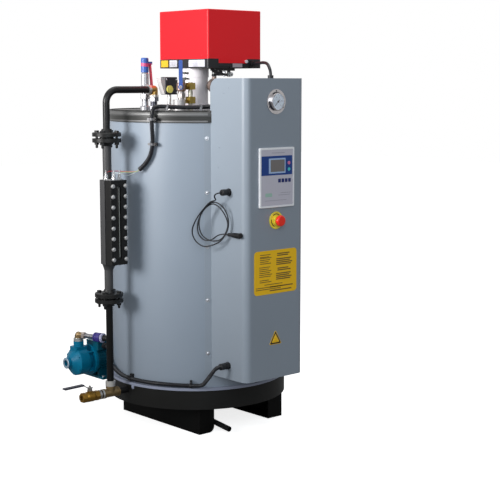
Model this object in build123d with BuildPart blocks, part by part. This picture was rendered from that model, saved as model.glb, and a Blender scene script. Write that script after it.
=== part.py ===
from build123d import *
import math
import os

# Vertical steam boiler with a burner on its lid, a control cabinet on its front, a level column on
# its left and a feed pump behind it. Millimetres, Z up. The origin is on the floor, midway between
# the four anchor holes and under the axis of the jacket. The cabinet's front faces -Y.

os.makedirs("parts", exist_ok=True)

# Jacket and lid
jacket_radius = 344
jacket_wall = 4
lid_step = 5
lid_radius = jacket_radius + lid_step
lid_bottom = 1214
lid_ring_height = 24
lid_ring_width = 50
lid_cover_height = 18
lid_top = lid_bottom + lid_ring_height + lid_cover_height
flue_radius = 60
flue_wall = 3
flue_z = 1080
flue_bead_length = 10
flue_reach = 62

# Base
base_step = 16
base_radius = jacket_radius + base_step
rail_height = 112
rail_length = 506
rail_width = 75
rail_wall = 6
rail_corner = 24
left_rail_x = -157.5
right_rail_x = 204.5
anchor_x = 180
anchor_y = 200
anchor_radius = 7
skirt_wall = 6
plate_bottom = 186
plate_thickness = 10
plate_top = plate_bottom + plate_thickness

# Cabinet
cabinet_left = -171
cabinet_right = 124
cabinet_depth = 204
cabinet_back = -math.sqrt(jacket_radius**2 - cabinet_left**2) + 0.5
cabinet_front = cabinet_back - cabinet_depth
cabinet_bottom = 246
cabinet_top_z = 1380
sheet = 2
corner_radius = 28
shoulder_radius = 40
strip_width = 25
panel_x = (cabinet_left + cabinet_right) / 2
seam = 0.2

# Burner
burner_left = -62
burner_right = 213.5
burner_half_depth = 154.5
tray_bottom = 1421
tray_top = 1457
burner_top = 1647
burner_sheet = 2.5
neck_radius = 50
neck_wall = 6
neck_bottom = 1180
neck_collar_radius = 53
neck_collar_height = 36
neck_foot_radius = 78
neck_foot_height = 12
neck_foot_bolts = 66

# Level column
column_gap = 76
column_x = -(base_radius + column_gap)
pipe_25 = 33.7 / 2
pipe_20 = 26.9 / 2
steam_z = 1337
steam_bend = 50
riser_x = -210
upper_flange_z = 1157.5
lower_flange_z = 540.5
flange_radius = 55
flange_thickness = 15
flange_face_radius = 27
gasket = 8
flange_hub = 13
bolt_circle = 41
bolt_angle = 32
bolt_radius = 5
bolt_head = 7
bolt_tail = 22
chamber_bottom = 675
chamber_top = 998
chamber_half_width = 37.5
chamber_front = -75
chamber_joint = -34
chamber_rear = 8
cover_gap = 5
drain_z = 163
blowdown_x = -104
blowdown_y = -120
blowdown_z = 46
blowdown_radius = 21.4 / 2
blowdown_end_y = -326
blowdown_end_z = 22
thread_clearance = 0.3

# Pump
pump_y = jacket_radius + 101
pump_z = 190
shelf_top = 110
shelf_sheet = 6
feed_z = 304

# Fits of the moving pieces
running_fit = 0.05
guide_fit = 0.1


def write(piece, name):
    piece.part.label = name
    export_step(piece.part, f"parts/{name}.step")


def arc_radii(points):
    # Largest tangent radius that the shorter of two neighbouring runs allows at each corner.
    radii = []
    for before, corner, after in zip(points, points[1:], points[2:]):
        run_in = Vector(*corner) - Vector(*before)
        run_out = Vector(*after) - Vector(*corner)
        half_turn = math.radians(run_in.get_angle(run_out)) / 2
        shorter = min(run_in.length, run_out.length)
        radii.append(0.45 * shorter / math.tan(half_turn))
    return radii


def tube(points, radius, name):
    # Round tube along straight runs joined by tangent arcs.
    radii = arc_radii(points)
    with BuildPart() as piece:
        with BuildLine() as path:
            FilletPolyline(*points, radius=radii)
        route = path.wire()
        with BuildSketch(Plane(origin=route @ 0, z_dir=route % 0)):
            Circle(radius)
        sweep(path=route)
    expected = math.pi * radius**2 * route.length
    print(name, "smallest bend", round(min(radii), 1), "length", round(route.length),
          "volume ratio", round(piece.part.volume / expected, 4))
    write(piece, name)
    return piece


def on_circle(radius, angle, z):
    return (radius * math.cos(math.radians(angle)), radius * math.sin(math.radians(angle)), z)


# Base rails: channels with closed ends, open towards each other, with two anchor holes each
for side, rail_x, inward in (("left", left_rail_x, 1), ("right", right_rail_x, -1)):
    with BuildPart() as base_rail:
        with BuildSketch(Plane.XZ.offset(-rail_length / 2)):
            with Locations((rail_x, rail_height / 2)):
                Rectangle(rail_width, rail_height)
        extrude(amount=rail_length)
        with Locations((rail_x + inward * rail_wall, 0, rail_height / 2)):
            Box(rail_width, rail_length - 2 * rail_wall, rail_height - 2 * rail_wall,
                mode=Mode.SUBTRACT)
        if side == "left":
            toe_x = rail_x + rail_width / 2 - rail_corner / 2
            with BuildSketch(Plane.XZ.offset(rail_length / 2)):
                with Locations((toe_x, rail_corner / 2)):
                    Rectangle(rail_corner, rail_corner)
                with Locations((toe_x - rail_corner / 2, rail_corner)):
                    Circle(rail_corner, mode=Mode.SUBTRACT)
            extrude(amount=-rail_wall - rail_corner, mode=Mode.SUBTRACT)
        with Locations(*[(-inward * anchor_x, y, rail_wall) for y in (-anchor_y, anchor_y)]):
            Hole(anchor_radius, depth=rail_wall)
    write(base_rail, f"base_rail_{side}")

# Base skirt: rolled ring with a floor on the rails, and holes for the drain nipple and the blowdown
with BuildPart() as base_skirt:
    with BuildSketch(Plane.XY.offset(rail_height)):
        Circle(base_radius)
        Circle(base_radius - skirt_wall, mode=Mode.SUBTRACT)
    extrude(amount=plate_bottom - rail_height)
    with BuildSketch(Plane.XY.offset(rail_height)):
        Circle(base_radius - skirt_wall / 2)
        with Locations((blowdown_x, blowdown_y)):
            Circle(blowdown_radius + thread_clearance, mode=Mode.SUBTRACT)
    extrude(amount=skirt_wall)
    with BuildSketch(Plane.YZ.offset(-base_radius - 5)):
        with Locations((0, drain_z)):
            Circle(pipe_20 + thread_clearance)
    extrude(amount=20, mode=Mode.SUBTRACT)
write(base_skirt, "base_skirt")

with BuildPart() as base_plate:
    with BuildSketch(Plane.XY.offset(plate_bottom)):
        Circle(base_radius)
    extrude(amount=plate_thickness)
    chamfer(base_plate.edges().group_by(Axis.Z)[-1], length=1.5)
write(base_plate, "base_plate")

# Pump shelf: plate on the rear end of the left rail with a leg under it, cut back at an angle
shelf_left = left_rail_x - rail_width / 2
shelf_edge = left_rail_x + 8
shelf_right = shelf_left + 125
shelf_back = pump_y + 80
shelf_waist = rail_length / 2 + 92
with BuildPart() as pump_shelf:
    with BuildSketch(Plane.XY.offset(shelf_top - shelf_sheet)):
        with BuildLine():
            Polyline(
                (shelf_left, rail_length / 2),
                (shelf_right, rail_length / 2),
                (shelf_right, shelf_back),
                (shelf_edge, shelf_back),
                (shelf_edge, shelf_waist),
                close=True,
            )
        make_face()
    extrude(amount=shelf_sheet)
    leg_left = shelf_left + 12
    leg_right = left_rail_x + rail_width / 2
    with Locations(((leg_left + leg_right) / 2, (rail_length + shelf_sheet) / 2,
                    (shelf_top - shelf_sheet + rail_wall) / 2)):
        Box(leg_right - leg_left, shelf_sheet, shelf_top - shelf_sheet - rail_wall)
    with BuildSketch(Plane.YZ.offset(left_rail_x)):
        with BuildLine():
            Polyline(
                (rail_length / 2 + 1, rail_wall + 20),
                (shelf_waist, shelf_top - shelf_sheet),
                (shelf_waist, shelf_top - 1),
                (rail_length / 2 + 1, shelf_top - 1),
                close=True,
            )
        make_face()
    extrude(amount=shelf_sheet)
write(pump_shelf, "pump_shelf")

# Feed run: from the top of the pump's outlet to the jacket, a little off the -Y direction
outlet_x = -287
feed_start = Vector(outlet_x, pump_y, feed_z)
feed_way = Vector(0.3, -0.954, 0).normalized()
feed_plane = Plane(origin=feed_start, x_dir=(0, 0, 1), z_dir=feed_way)
along = feed_start.dot(feed_way)
feed_length = -along - math.sqrt(jacket_radius**2 - (outlet_x**2 + pump_y**2 - along**2))

# Jacket: rolled sheet, with the flue's opening at the back and the feed's opening behind the pump
with BuildPart() as jacket:
    with BuildSketch(Plane.XY.offset(plate_top)):
        Circle(jacket_radius)
        Circle(jacket_radius - jacket_wall, mode=Mode.SUBTRACT)
    extrude(amount=lid_bottom - plate_top)
    with BuildSketch(Plane.XZ.offset(-jacket_radius - 20)):
        with Locations((0, flue_z)):
            Circle(flue_radius + thread_clearance)
    extrude(amount=60, mode=Mode.SUBTRACT)
    with BuildSketch(feed_plane.offset(feed_length - 30)):
        Circle(pipe_20 + thread_clearance)
    extrude(amount=60, mode=Mode.SUBTRACT)
write(jacket, "jacket")

# Flue outlet: a collar through the jacket with a rolled bead where it meets the sheet
flue_pin_start = jacket_radius + flue_bead_length
with BuildPart() as flue_outlet:
    with BuildSketch(Plane.XZ.offset(-jacket_radius + 40)):
        with Locations((0, flue_z)):
            Circle(flue_radius)
    extrude(amount=-(flue_reach + flue_bead_length + 40))
    with BuildSketch(Plane.XZ.offset(-jacket_radius - 1)):
        with Locations((0, flue_z)):
            Circle(flue_radius + 8)
    extrude(amount=-(flue_bead_length - 1))
    with BuildSketch(Plane.XZ.offset(-jacket_radius + 40)):
        with Locations((0, flue_z)):
            Circle(flue_radius - flue_wall)
    extrude(amount=-(flue_reach + flue_bead_length + 40), mode=Mode.SUBTRACT)
write(flue_outlet, "flue_outlet")

# Lid: a dark ring on the jacket and a cover plate with a bevelled rim
with BuildPart() as lid_ring:
    with BuildSketch(Plane.XY.offset(lid_bottom)):
        Circle(lid_radius)
        Circle(lid_radius - lid_ring_width, mode=Mode.SUBTRACT)
    extrude(amount=lid_ring_height)
write(lid_ring, "lid_ring")

with BuildPart() as lid_cover:
    with BuildSketch(Plane.XY.offset(lid_bottom + lid_ring_height)):
        Circle(lid_radius)
        Circle(neck_radius + thread_clearance, mode=Mode.SUBTRACT)
    extrude(amount=lid_cover_height)
    rim = lid_cover.edges().group_by(Axis.Z)[-1].sort_by(SortBy.LENGTH)[-1]
    chamfer(rim, length=4)
write(lid_cover, "lid_cover")

# Burner neck: a cast tube through the lid, with a foot flange, ribs and a collar under the tray
rib_count = 6
rib_thickness = 6
rib_height = 34
with BuildPart() as burner_neck:
    with BuildSketch(Plane.XY.offset(neck_bottom)):
        Circle(neck_radius)
    extrude(amount=tray_bottom - neck_bottom)
    with BuildSketch(Plane.XY.offset(tray_bottom - neck_collar_height)):
        Circle(neck_collar_radius)
    extrude(amount=neck_collar_height)
    with BuildSketch(Plane.XY.offset(lid_top)):
        Circle(neck_foot_radius)
        with PolarLocations(neck_foot_bolts, rib_count, start_angle=15):
            Circle(4.5, mode=Mode.SUBTRACT)
    extrude(amount=neck_foot_height)
    with PolarLocations(0, rib_count, start_angle=45):
        with BuildSketch(Plane.XZ):
            with BuildLine():
                Polyline(
                    (neck_radius - 3, lid_top + neck_foot_height - 1),
                    (neck_foot_radius - 6, lid_top + neck_foot_height - 1),
                    (neck_radius, lid_top + neck_foot_height + rib_height),
                    (neck_radius - 3, lid_top + neck_foot_height + rib_height),
                    close=True,
                )
            make_face()
        extrude(amount=rib_thickness / 2, both=True)
    with BuildSketch(Plane.XY.offset(neck_bottom)):
        Circle(neck_radius - neck_wall)
    extrude(amount=tray_bottom - neck_bottom, mode=Mode.SUBTRACT)
write(burner_neck, "burner_neck")

burner_width = burner_right - burner_left
burner_centre_x = (burner_left + burner_right) / 2
apron_x = 66
apron_width = 148
apron_drop = 17
apron_gap = 0.5
with BuildPart() as burner_tray:
    with Locations((burner_centre_x, 0, (tray_bottom + tray_top) / 2)):
        Box(burner_width, 2 * burner_half_depth, tray_top - tray_bottom)
    fillet(burner_tray.edges().filter_by(Axis.Z), radius=6)
    for notch_x, notch_width in ((20, 60), (130, 50)):
        with Locations((notch_x, -burner_half_depth, tray_bottom + 3)):
            Box(notch_width, 8, 6, mode=Mode.SUBTRACT)
    with Locations((apron_x, -burner_half_depth, tray_top - apron_drop / 2)):
        Box(apron_width + 2 * apron_gap, 2 * (burner_sheet + apron_gap), apron_drop + 2 * apron_gap,
            mode=Mode.SUBTRACT)
write(burner_tray, "burner_tray")

with BuildPart() as burner_cover:
    with Locations((burner_centre_x, 0, (tray_top + burner_top) / 2)):
        Box(burner_width, 2 * burner_half_depth, burner_top - tray_top)
    fillet(burner_cover.edges().filter_by(Axis.Z), radius=6)
    fillet(burner_cover.edges().group_by(Axis.Z)[-1], radius=4)
    offset(amount=-burner_sheet, openings=burner_cover.faces().sort_by(Axis.Z)[0])
    with Locations((apron_x, burner_sheet / 2 - burner_half_depth, tray_top - apron_drop / 2 + 2)):
        Box(apron_width, burner_sheet, apron_drop + 4)
write(burner_cover, "burner_cover")

# Gas supply under the tray: a mounting bar, a drop pipe and a round inlet valve with its port
gas_x = 24
gas_y = -88
gas_z = 1352
gas_bar = 10
with BuildPart() as gas_inlet_valve:
    with Locations((68, gas_y, tray_bottom - gas_bar / 2)):
        Box(104, 34, gas_bar)
    fillet(gas_inlet_valve.edges().filter_by(Axis.Z), radius=4)
    with BuildSketch(Plane.XY.offset(gas_z)):
        with Locations((gas_x, gas_y)):
            Circle(9)
    extrude(amount=tray_bottom - gas_bar - gas_z)
    for peg_x, peg_drop in ((58, 20), (100, 24)):
        with BuildSketch(Plane.XY.offset(tray_bottom - gas_bar - peg_drop)):
            with Locations((peg_x, gas_y)):
                Circle(7)
        extrude(amount=peg_drop)
    with BuildSketch(Plane.YZ.offset(44)):
        with Locations((gas_y, tray_bottom - gas_bar - 15)):
            Circle(5)
    extrude(amount=68)
    with BuildSketch(Plane.YZ.offset(gas_x)):
        with BuildLine():
            Polyline((gas_y - 24, gas_z), (gas_y - 24, gas_z + 20), (gas_y - 14, gas_z + 20),
                     (gas_y - 9, gas_z + 28), (gas_y + 9, gas_z + 28), (gas_y + 14, gas_z + 20),
                     (gas_y + 24, gas_z + 20), (gas_y + 24, gas_z), close=True)
        make_face()
    revolve(axis=Axis((gas_x, gas_y, gas_z), (0, 1, 0)))
    with BuildSketch(Plane.XZ.offset(24 - gas_y)):
        with Locations((gas_x, gas_z)):
            Circle(12)
    extrude(amount=-30, mode=Mode.SUBTRACT)
write(gas_inlet_valve, "gas_inlet_valve")

# Cabinet: a wrap of folded sheet with rounded front corners and side strips on the jacket
cabinet_width = cabinet_right - cabinet_left


def cabinet_outline(shrink):
    # Plan of the cabinet, drawn in from its outside by the given distance, with its rear open
    with BuildSketch(mode=Mode.PRIVATE) as outline:
        with BuildLine():
            left = cabinet_left + shrink
            right = cabinet_right - shrink
            front = cabinet_front + shrink
            radius = corner_radius - shrink
            FilletPolyline((left, cabinet_back), (left, front), (right, front),
                           (right, cabinet_back), radius=radius)
            Line((right, cabinet_back), (left, cabinet_back))
        make_face()
    return outline.sketch


def strip_wedge(angle_from, angle_to):
    with BuildSketch(mode=Mode.PRIVATE) as wedge:
        Circle(jacket_radius + sheet)
        Circle(jacket_radius, mode=Mode.SUBTRACT)
        with BuildLine():
            Polyline((0, 0), on_circle(500, angle_from, 0)[:2], on_circle(500, angle_to, 0)[:2],
                     close=True)
        make_face(mode=Mode.INTERSECT)
    return wedge.sketch


left_angle = 360 - math.degrees(math.acos(cabinet_left / jacket_radius))
right_angle = 360 - math.degrees(math.acos(cabinet_right / jacket_radius))
strip_angle = math.degrees(strip_width / jacket_radius)
with BuildPart() as cabinet_wrap:
    with BuildSketch(Plane.XY.offset(cabinet_bottom)):
        add(cabinet_outline(0))
        add(cabinet_outline(sheet), mode=Mode.SUBTRACT)
    extrude(amount=cabinet_top_z - cabinet_bottom)
    with BuildSketch(Plane.YZ.offset(cabinet_left - 5)):
        with Locations((cabinet_back - shoulder_radius / 2, cabinet_top_z - shoulder_radius / 2)):
            Rectangle(shoulder_radius, shoulder_radius)
        with Locations((cabinet_back - shoulder_radius, cabinet_top_z - shoulder_radius)):
            Circle(shoulder_radius, mode=Mode.SUBTRACT)
    extrude(amount=cabinet_width + 10, mode=Mode.SUBTRACT)
    with BuildSketch(Plane.XY.offset(cabinet_bottom)):
        Circle(jacket_radius)
    extrude(amount=lid_bottom - cabinet_bottom, mode=Mode.SUBTRACT)
    with BuildSketch(Plane.XY.offset(lid_bottom)):
        Circle(lid_radius + 1)
    extrude(amount=lid_top - lid_bottom + 4, mode=Mode.SUBTRACT)
    with BuildSketch(Plane.XY.offset(cabinet_bottom)):
        add(strip_wedge(left_angle - strip_angle, left_angle + 0.3))
        add(strip_wedge(right_angle - 0.3, right_angle + strip_angle))
    extrude(amount=lid_bottom - cabinet_bottom - 4)
    with BuildSketch(Plane.XY.offset(cabinet_bottom)):
        add(cabinet_outline(0))
        Circle(jacket_radius + seam, mode=Mode.SUBTRACT)
    extrude(amount=sheet)
write(cabinet_wrap, "cabinet_wrap")

with BuildPart() as cabinet_roof:
    with BuildSketch(Plane.YZ.offset(cabinet_left)):
        with BuildLine() as roof_line:
            FilletPolyline(
                (cabinet_front, cabinet_top_z),
                (cabinet_back, cabinet_top_z),
                (cabinet_back, lid_top + 6),
                radius=shoulder_radius,
            )
            offset(roof_line.line, amount=-sheet, side=Side.RIGHT)
        make_face()
    extrude(amount=cabinet_width)
    with BuildSketch(Plane.XY.offset(lid_top)):
        add(cabinet_outline(sheet + seam))
    extrude(amount=cabinet_top_z - lid_top, mode=Mode.INTERSECT)
write(cabinet_roof, "cabinet_roof")

# Front fittings, each on the plane of the cabinet's front
front = Plane.XZ.offset(-cabinet_front)
gauge_z = 1294
gauge_flange = 46
gauge_bezel = 33
gauge_glass = 29.5
gauge_reach = 14
panel_z = 1013
panel_width = 175
panel_height = 223
panel_frame = 7
panel_reach = 9
stop_z = 852
stop_plate = 33
stop_boss = 17
with BuildPart() as pressure_gauge:
    with BuildSketch(front):
        with Locations((panel_x, gauge_z)):
            Circle(gauge_flange)
            with PolarLocations(gauge_flange - 6, 3, start_angle=90):
                Circle(2.2, mode=Mode.SUBTRACT)
    extrude(amount=3)
    with BuildSketch(front):
        with Locations((panel_x, gauge_z)):
            Circle(gauge_bezel)
    extrude(amount=gauge_reach)
    rim = pressure_gauge.edges().group_by(Axis.Y)[0]
    fillet(rim, radius=2)
    with BuildSketch(front.offset(gauge_reach)):
        with Locations((panel_x, gauge_z)):
            Circle(gauge_glass)
    extrude(amount=-3, mode=Mode.SUBTRACT)
write(pressure_gauge, "pressure_gauge")

with BuildPart() as control_panel:
    with BuildSketch(front):
        with Locations((panel_x, panel_z)):
            RectangleRounded(panel_width, panel_height, 5)
    extrude(amount=panel_reach)
    chamfer(control_panel.edges().group_by(Axis.Y)[0], length=1.2)
    with BuildSketch(front.offset(panel_reach)):
        with Locations((panel_x, panel_z)):
            RectangleRounded(panel_width - 2 * panel_frame, panel_height - 2 * panel_frame, 3)
    extrude(amount=-1.5, mode=Mode.SUBTRACT)
write(control_panel, "control_panel")

stem_radius = 11
head_radius = 21
with BuildPart() as emergency_stop_collar:
    with BuildSketch(front):
        with Locations((panel_x, stop_z)):
            Circle(stop_plate)
    extrude(amount=3)
    with BuildSketch(front):
        with Locations((panel_x, stop_z)):
            Circle(stop_boss)
    extrude(amount=14)
    with BuildSketch(front.offset(2)):
        with Locations((panel_x, stop_z)):
            Circle(stem_radius + guide_fit)
    extrude(amount=14, mode=Mode.SUBTRACT)
write(emergency_stop_collar, "emergency_stop_collar")

# Emergency stop button: a mushroom head on its stem
with BuildPart() as emergency_stop_button:
    with BuildSketch(front.offset(22)):
        with Locations((panel_x, stop_z)):
            Circle(head_radius)
    extrude(amount=14)
    fillet(emergency_stop_button.edges().group_by(Axis.Y)[0], radius=7)
    chamfer(emergency_stop_button.edges().group_by(Axis.Y)[-1], length=3)
    with BuildSketch(front.offset(8)):
        with Locations((panel_x, stop_z)):
            Circle(stem_radius)
    extrude(amount=16)
write(emergency_stop_button, "emergency_stop_button")

# Cable glands on the cabinet's left side, each a flange, a hexagon and a cap with a bore
gland_length = 38


def gland(name, plane, bore, length=gland_length, size=13):
    with BuildPart() as piece:
        with BuildSketch(plane):
            Circle(size + 2)
        extrude(amount=3)
        with BuildSketch(plane):
            RegularPolygon(size + 1, 6)
        extrude(amount=length * 0.35)
        with BuildSketch(plane):
            Circle(size - 3)
        extrude(amount=length)
        with BuildSketch(plane.offset(length * 0.42)):
            Circle(size)
        extrude(amount=length * 0.58)
        cap_end = piece.faces().sort_by(Axis(plane.origin, plane.z_dir))[-1]
        fillet(cap_end.edges(), radius=3)
        with BuildSketch(plane.offset(length)):
            Circle(bore)
        extrude(amount=-4, mode=Mode.SUBTRACT)
    write(piece, name)


def side_plane(y, z):
    return Plane(origin=(cabinet_left, y, z), x_dir=(0, 1, 0), z_dir=(-1, 0, 0))


upper_gland = (cabinet_front + 96, 960)
lower_gland = (cabinet_front + 103, 299)
lower_gland_length = 42
conduit_radius = 8
gland("cable_gland_upper", side_plane(*upper_gland), 3, size=12)
gland("cable_gland_lower", side_plane(*lower_gland), conduit_radius + 0.5,
      length=lower_gland_length, size=12.5)

# Base conduit: round the foot of the jacket from the lower gland to the motor's terminal box
foot_radius = jacket_radius + 14
box_left = -228
box_width = 78
box_front = pump_y - 54
box_depth = 86
box_bottom = 236
box_top = 273
gland_y, gland_z = lower_gland
conduit_start = cabinet_left - lower_gland_length
box_entry = (box_left + 34, box_front, box_bottom + 16)
base_route = [
    (conduit_start, gland_y, gland_z),
    (conduit_start - 18, gland_y, gland_z),
    (-242, gland_y + 3, gland_z - 13),
    (-246, gland_y + 22, gland_z - 37),
    (-240, gland_y + 54, gland_z - 63),
    (-228, gland_y + 84, gland_z - 84),
    on_circle(foot_radius + 1, -131, plate_top + 11),
    on_circle(foot_radius, -141, plate_top + 12),
    on_circle(foot_radius, -152, plate_top + 13),
    on_circle(foot_radius, -163, plate_top + 13),
    on_circle(foot_radius, -174, plate_top + 14),
    on_circle(foot_radius, 175, plate_top + 17),
    on_circle(foot_radius + 1, 165, plate_top + 28),
    on_circle(foot_radius + 5, 154, plate_top + 44),
    on_circle(foot_radius + 6, 143, box_entry[2] - 1),
    on_circle(foot_radius + 4, 132, box_entry[2]),
    (box_entry[0], box_front - 34, box_entry[2]),
    box_entry,
]
tube(base_route, conduit_radius, "base_conduit")

# Lid conduit: out of the cabinet's back, along the lid's edge, over the rim and down the jacket
lid_conduit_radius = 8.5
lid_route = [
    (-118, cabinet_back, lid_top + 20),
    (-118, cabinet_back + 17, lid_top + 20),
    (-128, cabinet_back + 30, lid_top + 19),
    on_circle(lid_radius - 46, 239.5, lid_top + 17),
    on_circle(lid_radius - 30, 232.1, lid_top + 16),
    on_circle(lid_radius - 23, 223, lid_top + 16),
    on_circle(lid_radius - 21, 214.6, lid_top + 17),
    on_circle(lid_radius - 10, 208.2, lid_top + 20),
    on_circle(lid_radius + 12, 204.6, lid_top + 16),
    on_circle(lid_radius + 17, 204.2, lid_top - 13),
    on_circle(lid_radius + 16, 204.1, lid_bottom - 14),
    on_circle(lid_radius + 9, 204.1, lid_bottom - 64),
    on_circle(lid_radius + 8, 203.1, lid_bottom - 110),
    on_circle(lid_radius + 9, 199.9, lid_bottom - 150),
    on_circle(lid_radius + 13, 194.7, lid_bottom - 178),
]
tube(lid_route, lid_conduit_radius, "lid_conduit")

# Thin leads from the conduit's end to the three probes on the level chamber
lead_top = chamber_top + 28
probe_places = ((column_x - 20, -20), (column_x - 6, -52), (column_x + 20, -52))
(left_x, left_y), (middle_x, middle_y), (right_x, right_y) = probe_places
end_x, end_y, end_z = lid_route[-1]
lead_routes = (
    [(end_x + 4.6, end_y + 2, end_z - 0.4), (end_x + 1, end_y + 10.4, end_z - 8.2),
     (column_x + 61, -50, lead_top),
     (column_x + 28, -28, lead_top + 4), (left_x + 12, left_y - 2, lead_top + 4),
     (left_x + 4.4, left_y, lead_top)],
    [(end_x, end_y, end_z - 0.2), (end_x - 3.6, end_y + 8, end_z - 8),
     (column_x + 54, -70, lead_top - 12),
     (column_x + 26, -79, lead_top - 9), (column_x + 6, -74, lead_top - 2),
     (middle_x + 1.8, middle_y - 4.2, lead_top)],
    [(end_x - 4.6, end_y - 1.8, end_z), (end_x - 8.4, end_y + 6.6, end_z - 8),
     (column_x + 58, -76, lead_top), (column_x + 38, -62, lead_top + 1), (right_x + 4, right_y - 2, lead_top)],
)
for number, lead_route in enumerate(lead_routes, start=1):
    tube(lead_route, 1.3, f"probe_lead_{number}")

# Steam riser, elbow and pipe to the level column
with BuildPart() as steam_riser:
    with BuildSketch(Plane.XY.offset(lid_top)):
        with Locations((riser_x, 0)):
            Circle(22)
    extrude(amount=16)
    with BuildSketch(Plane.XY.offset(lid_top)):
        with Locations((riser_x, 0)):
            Circle(pipe_20)
    extrude(amount=40)
    with BuildSketch(Plane.XY.offset(lid_top + 36)):
        with Locations((riser_x, 0)):
            RegularPolygon(20, 6)
    extrude(amount=16)
write(steam_riser, "steam_riser")

with BuildPart() as steam_elbow:
    with BuildSketch(Plane.XY.offset(lid_top + 52)):
        with Locations((riser_x, 0)):
            Circle(16)
    extrude(amount=steam_z - lid_top - 52)
    with BuildSketch(Plane.XY.offset(lid_top + 52)):
        with Locations((riser_x, 0)):
            Circle(18.5)
    extrude(amount=9)
    with Locations((riser_x, 0, steam_z)):
        Sphere(16)
    with BuildSketch(Plane.YZ.offset(riser_x)):
        with Locations((0, steam_z)):
            Circle(16)
    extrude(amount=-30)
    with BuildSketch(Plane.YZ.offset(riser_x - 20)):
        with Locations((0, steam_z)):
            Circle(18.5)
    extrude(amount=-10)
write(steam_elbow, "steam_elbow")

with BuildPart() as steam_pipe:
    with BuildLine() as steam_path:
        FilletPolyline(
            (riser_x - 30, 0, steam_z),
            (column_x, 0, steam_z),
            (column_x, 0, upper_flange_z + gasket / 2 + flange_thickness + flange_hub),
            radius=steam_bend,
        )
    route = steam_path.wire()
    with BuildSketch(Plane(origin=route @ 0, z_dir=route % 0)):
        Circle(pipe_20)
    sweep(path=route)
write(steam_pipe, "steam_pipe")


# Flange pairs: two discs with hubs and raised faces, held by four bolts with a gap between them
def flange_pair(centre_z, name):
    disc = gasket / 2 + flange_thickness
    with BuildPart() as pair:
        for sign in (1, -1):
            with BuildSketch(Plane.XZ):
                with BuildLine():
                    Polyline(
                        (column_x, centre_z),
                        (column_x + flange_face_radius, centre_z),
                        (column_x + flange_face_radius, centre_z + sign * gasket / 2),
                        (column_x + flange_radius, centre_z + sign * gasket / 2),
                        (column_x + flange_radius, centre_z + sign * (disc - 2)),
                        (column_x + flange_radius - 2, centre_z + sign * disc),
                        (column_x + 24, centre_z + sign * disc),
                        (column_x + pipe_25 + 2, centre_z + sign * (disc + flange_hub)),
                        (column_x, centre_z + sign * (disc + flange_hub)),
                        close=True,
                    )
                make_face()
            revolve(axis=Axis((column_x, 0, 0), (0, 0, 1)))
        with Locations((column_x, 0)):
            with PolarLocations(bolt_circle, 4, start_angle=bolt_angle):
                with Locations((0, 0, centre_z)):
                    Cylinder(bolt_radius, 2 * disc)
        with BuildSketch(Plane.XY.offset(centre_z + disc)):
            with Locations((column_x, 0)):
                with PolarLocations(bolt_circle, 4, start_angle=bolt_angle):
                    RegularPolygon(9.5, 6)
        extrude(amount=bolt_head)
        with BuildSketch(Plane.XY.offset(centre_z - disc)):
            with Locations((column_x, 0)):
                with PolarLocations(bolt_circle, 4, start_angle=bolt_angle):
                    RegularPolygon(9.5, 6)
        extrude(amount=-bolt_head - 2)
        with BuildSketch(Plane.XY.offset(centre_z - disc)):
            with Locations((column_x, 0)):
                with PolarLocations(bolt_circle, 4, start_angle=bolt_angle):
                    Circle(bolt_radius)
        extrude(amount=-bolt_tail)
        tips = pair.edges().filter_by(GeomType.CIRCLE).group_by(Axis.Z)[0]
        chamfer(tips, length=2.5)
    write(pair, name)


flange_half = gasket / 2 + flange_thickness + flange_hub
flange_pair(upper_flange_z, "upper_flanges")
flange_pair(lower_flange_z, "lower_flanges")

# Drain pipe from the lower flanges down to its collar on the tee
collar_bottom = drain_z + 27
with BuildPart() as drain_pipe:
    with BuildSketch(Plane.XY.offset(collar_bottom)):
        with Locations((column_x, 0)):
            Circle(pipe_20)
    extrude(amount=lower_flange_z - flange_half - collar_bottom)
    with BuildSketch(Plane.XY.offset(collar_bottom)):
        with Locations((column_x, 0)):
            Circle(19.5)
    extrude(amount=20)
write(drain_pipe, "drain_pipe")

# Level chamber: cast block with a tapered foot, on the pipe that runs through it
chamber_height = chamber_top - chamber_bottom
chamber_centre_z = (chamber_top + chamber_bottom) / 2
taper_height = 26
with BuildPart() as level_chamber:
    depth = chamber_rear - chamber_joint
    with Locations((column_x, chamber_rear - depth / 2, chamber_centre_z)):
        Box(2 * chamber_half_width, depth, chamber_height)
    rear_edges = level_chamber.edges().filter_by(Axis.Z).group_by(Axis.Y)[-1]
    fillet(rear_edges, radius=15)
    with BuildSketch(Plane.XY.offset(chamber_bottom)):
        with Locations((column_x, -6)):
            RectangleRounded(2 * chamber_half_width - 12, 26, 12)
    with BuildSketch(Plane.XY.offset(chamber_bottom - taper_height)):
        with Locations((column_x, 0)):
            Circle(pipe_25 + 1)
    loft()
    with BuildSketch(Plane.XY.offset(lower_flange_z + flange_half)):
        with Locations((column_x, 0)):
            Circle(pipe_25)
    extrude(amount=upper_flange_z - lower_flange_z - 2 * flange_half)
write(level_chamber, "level_chamber")

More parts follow.
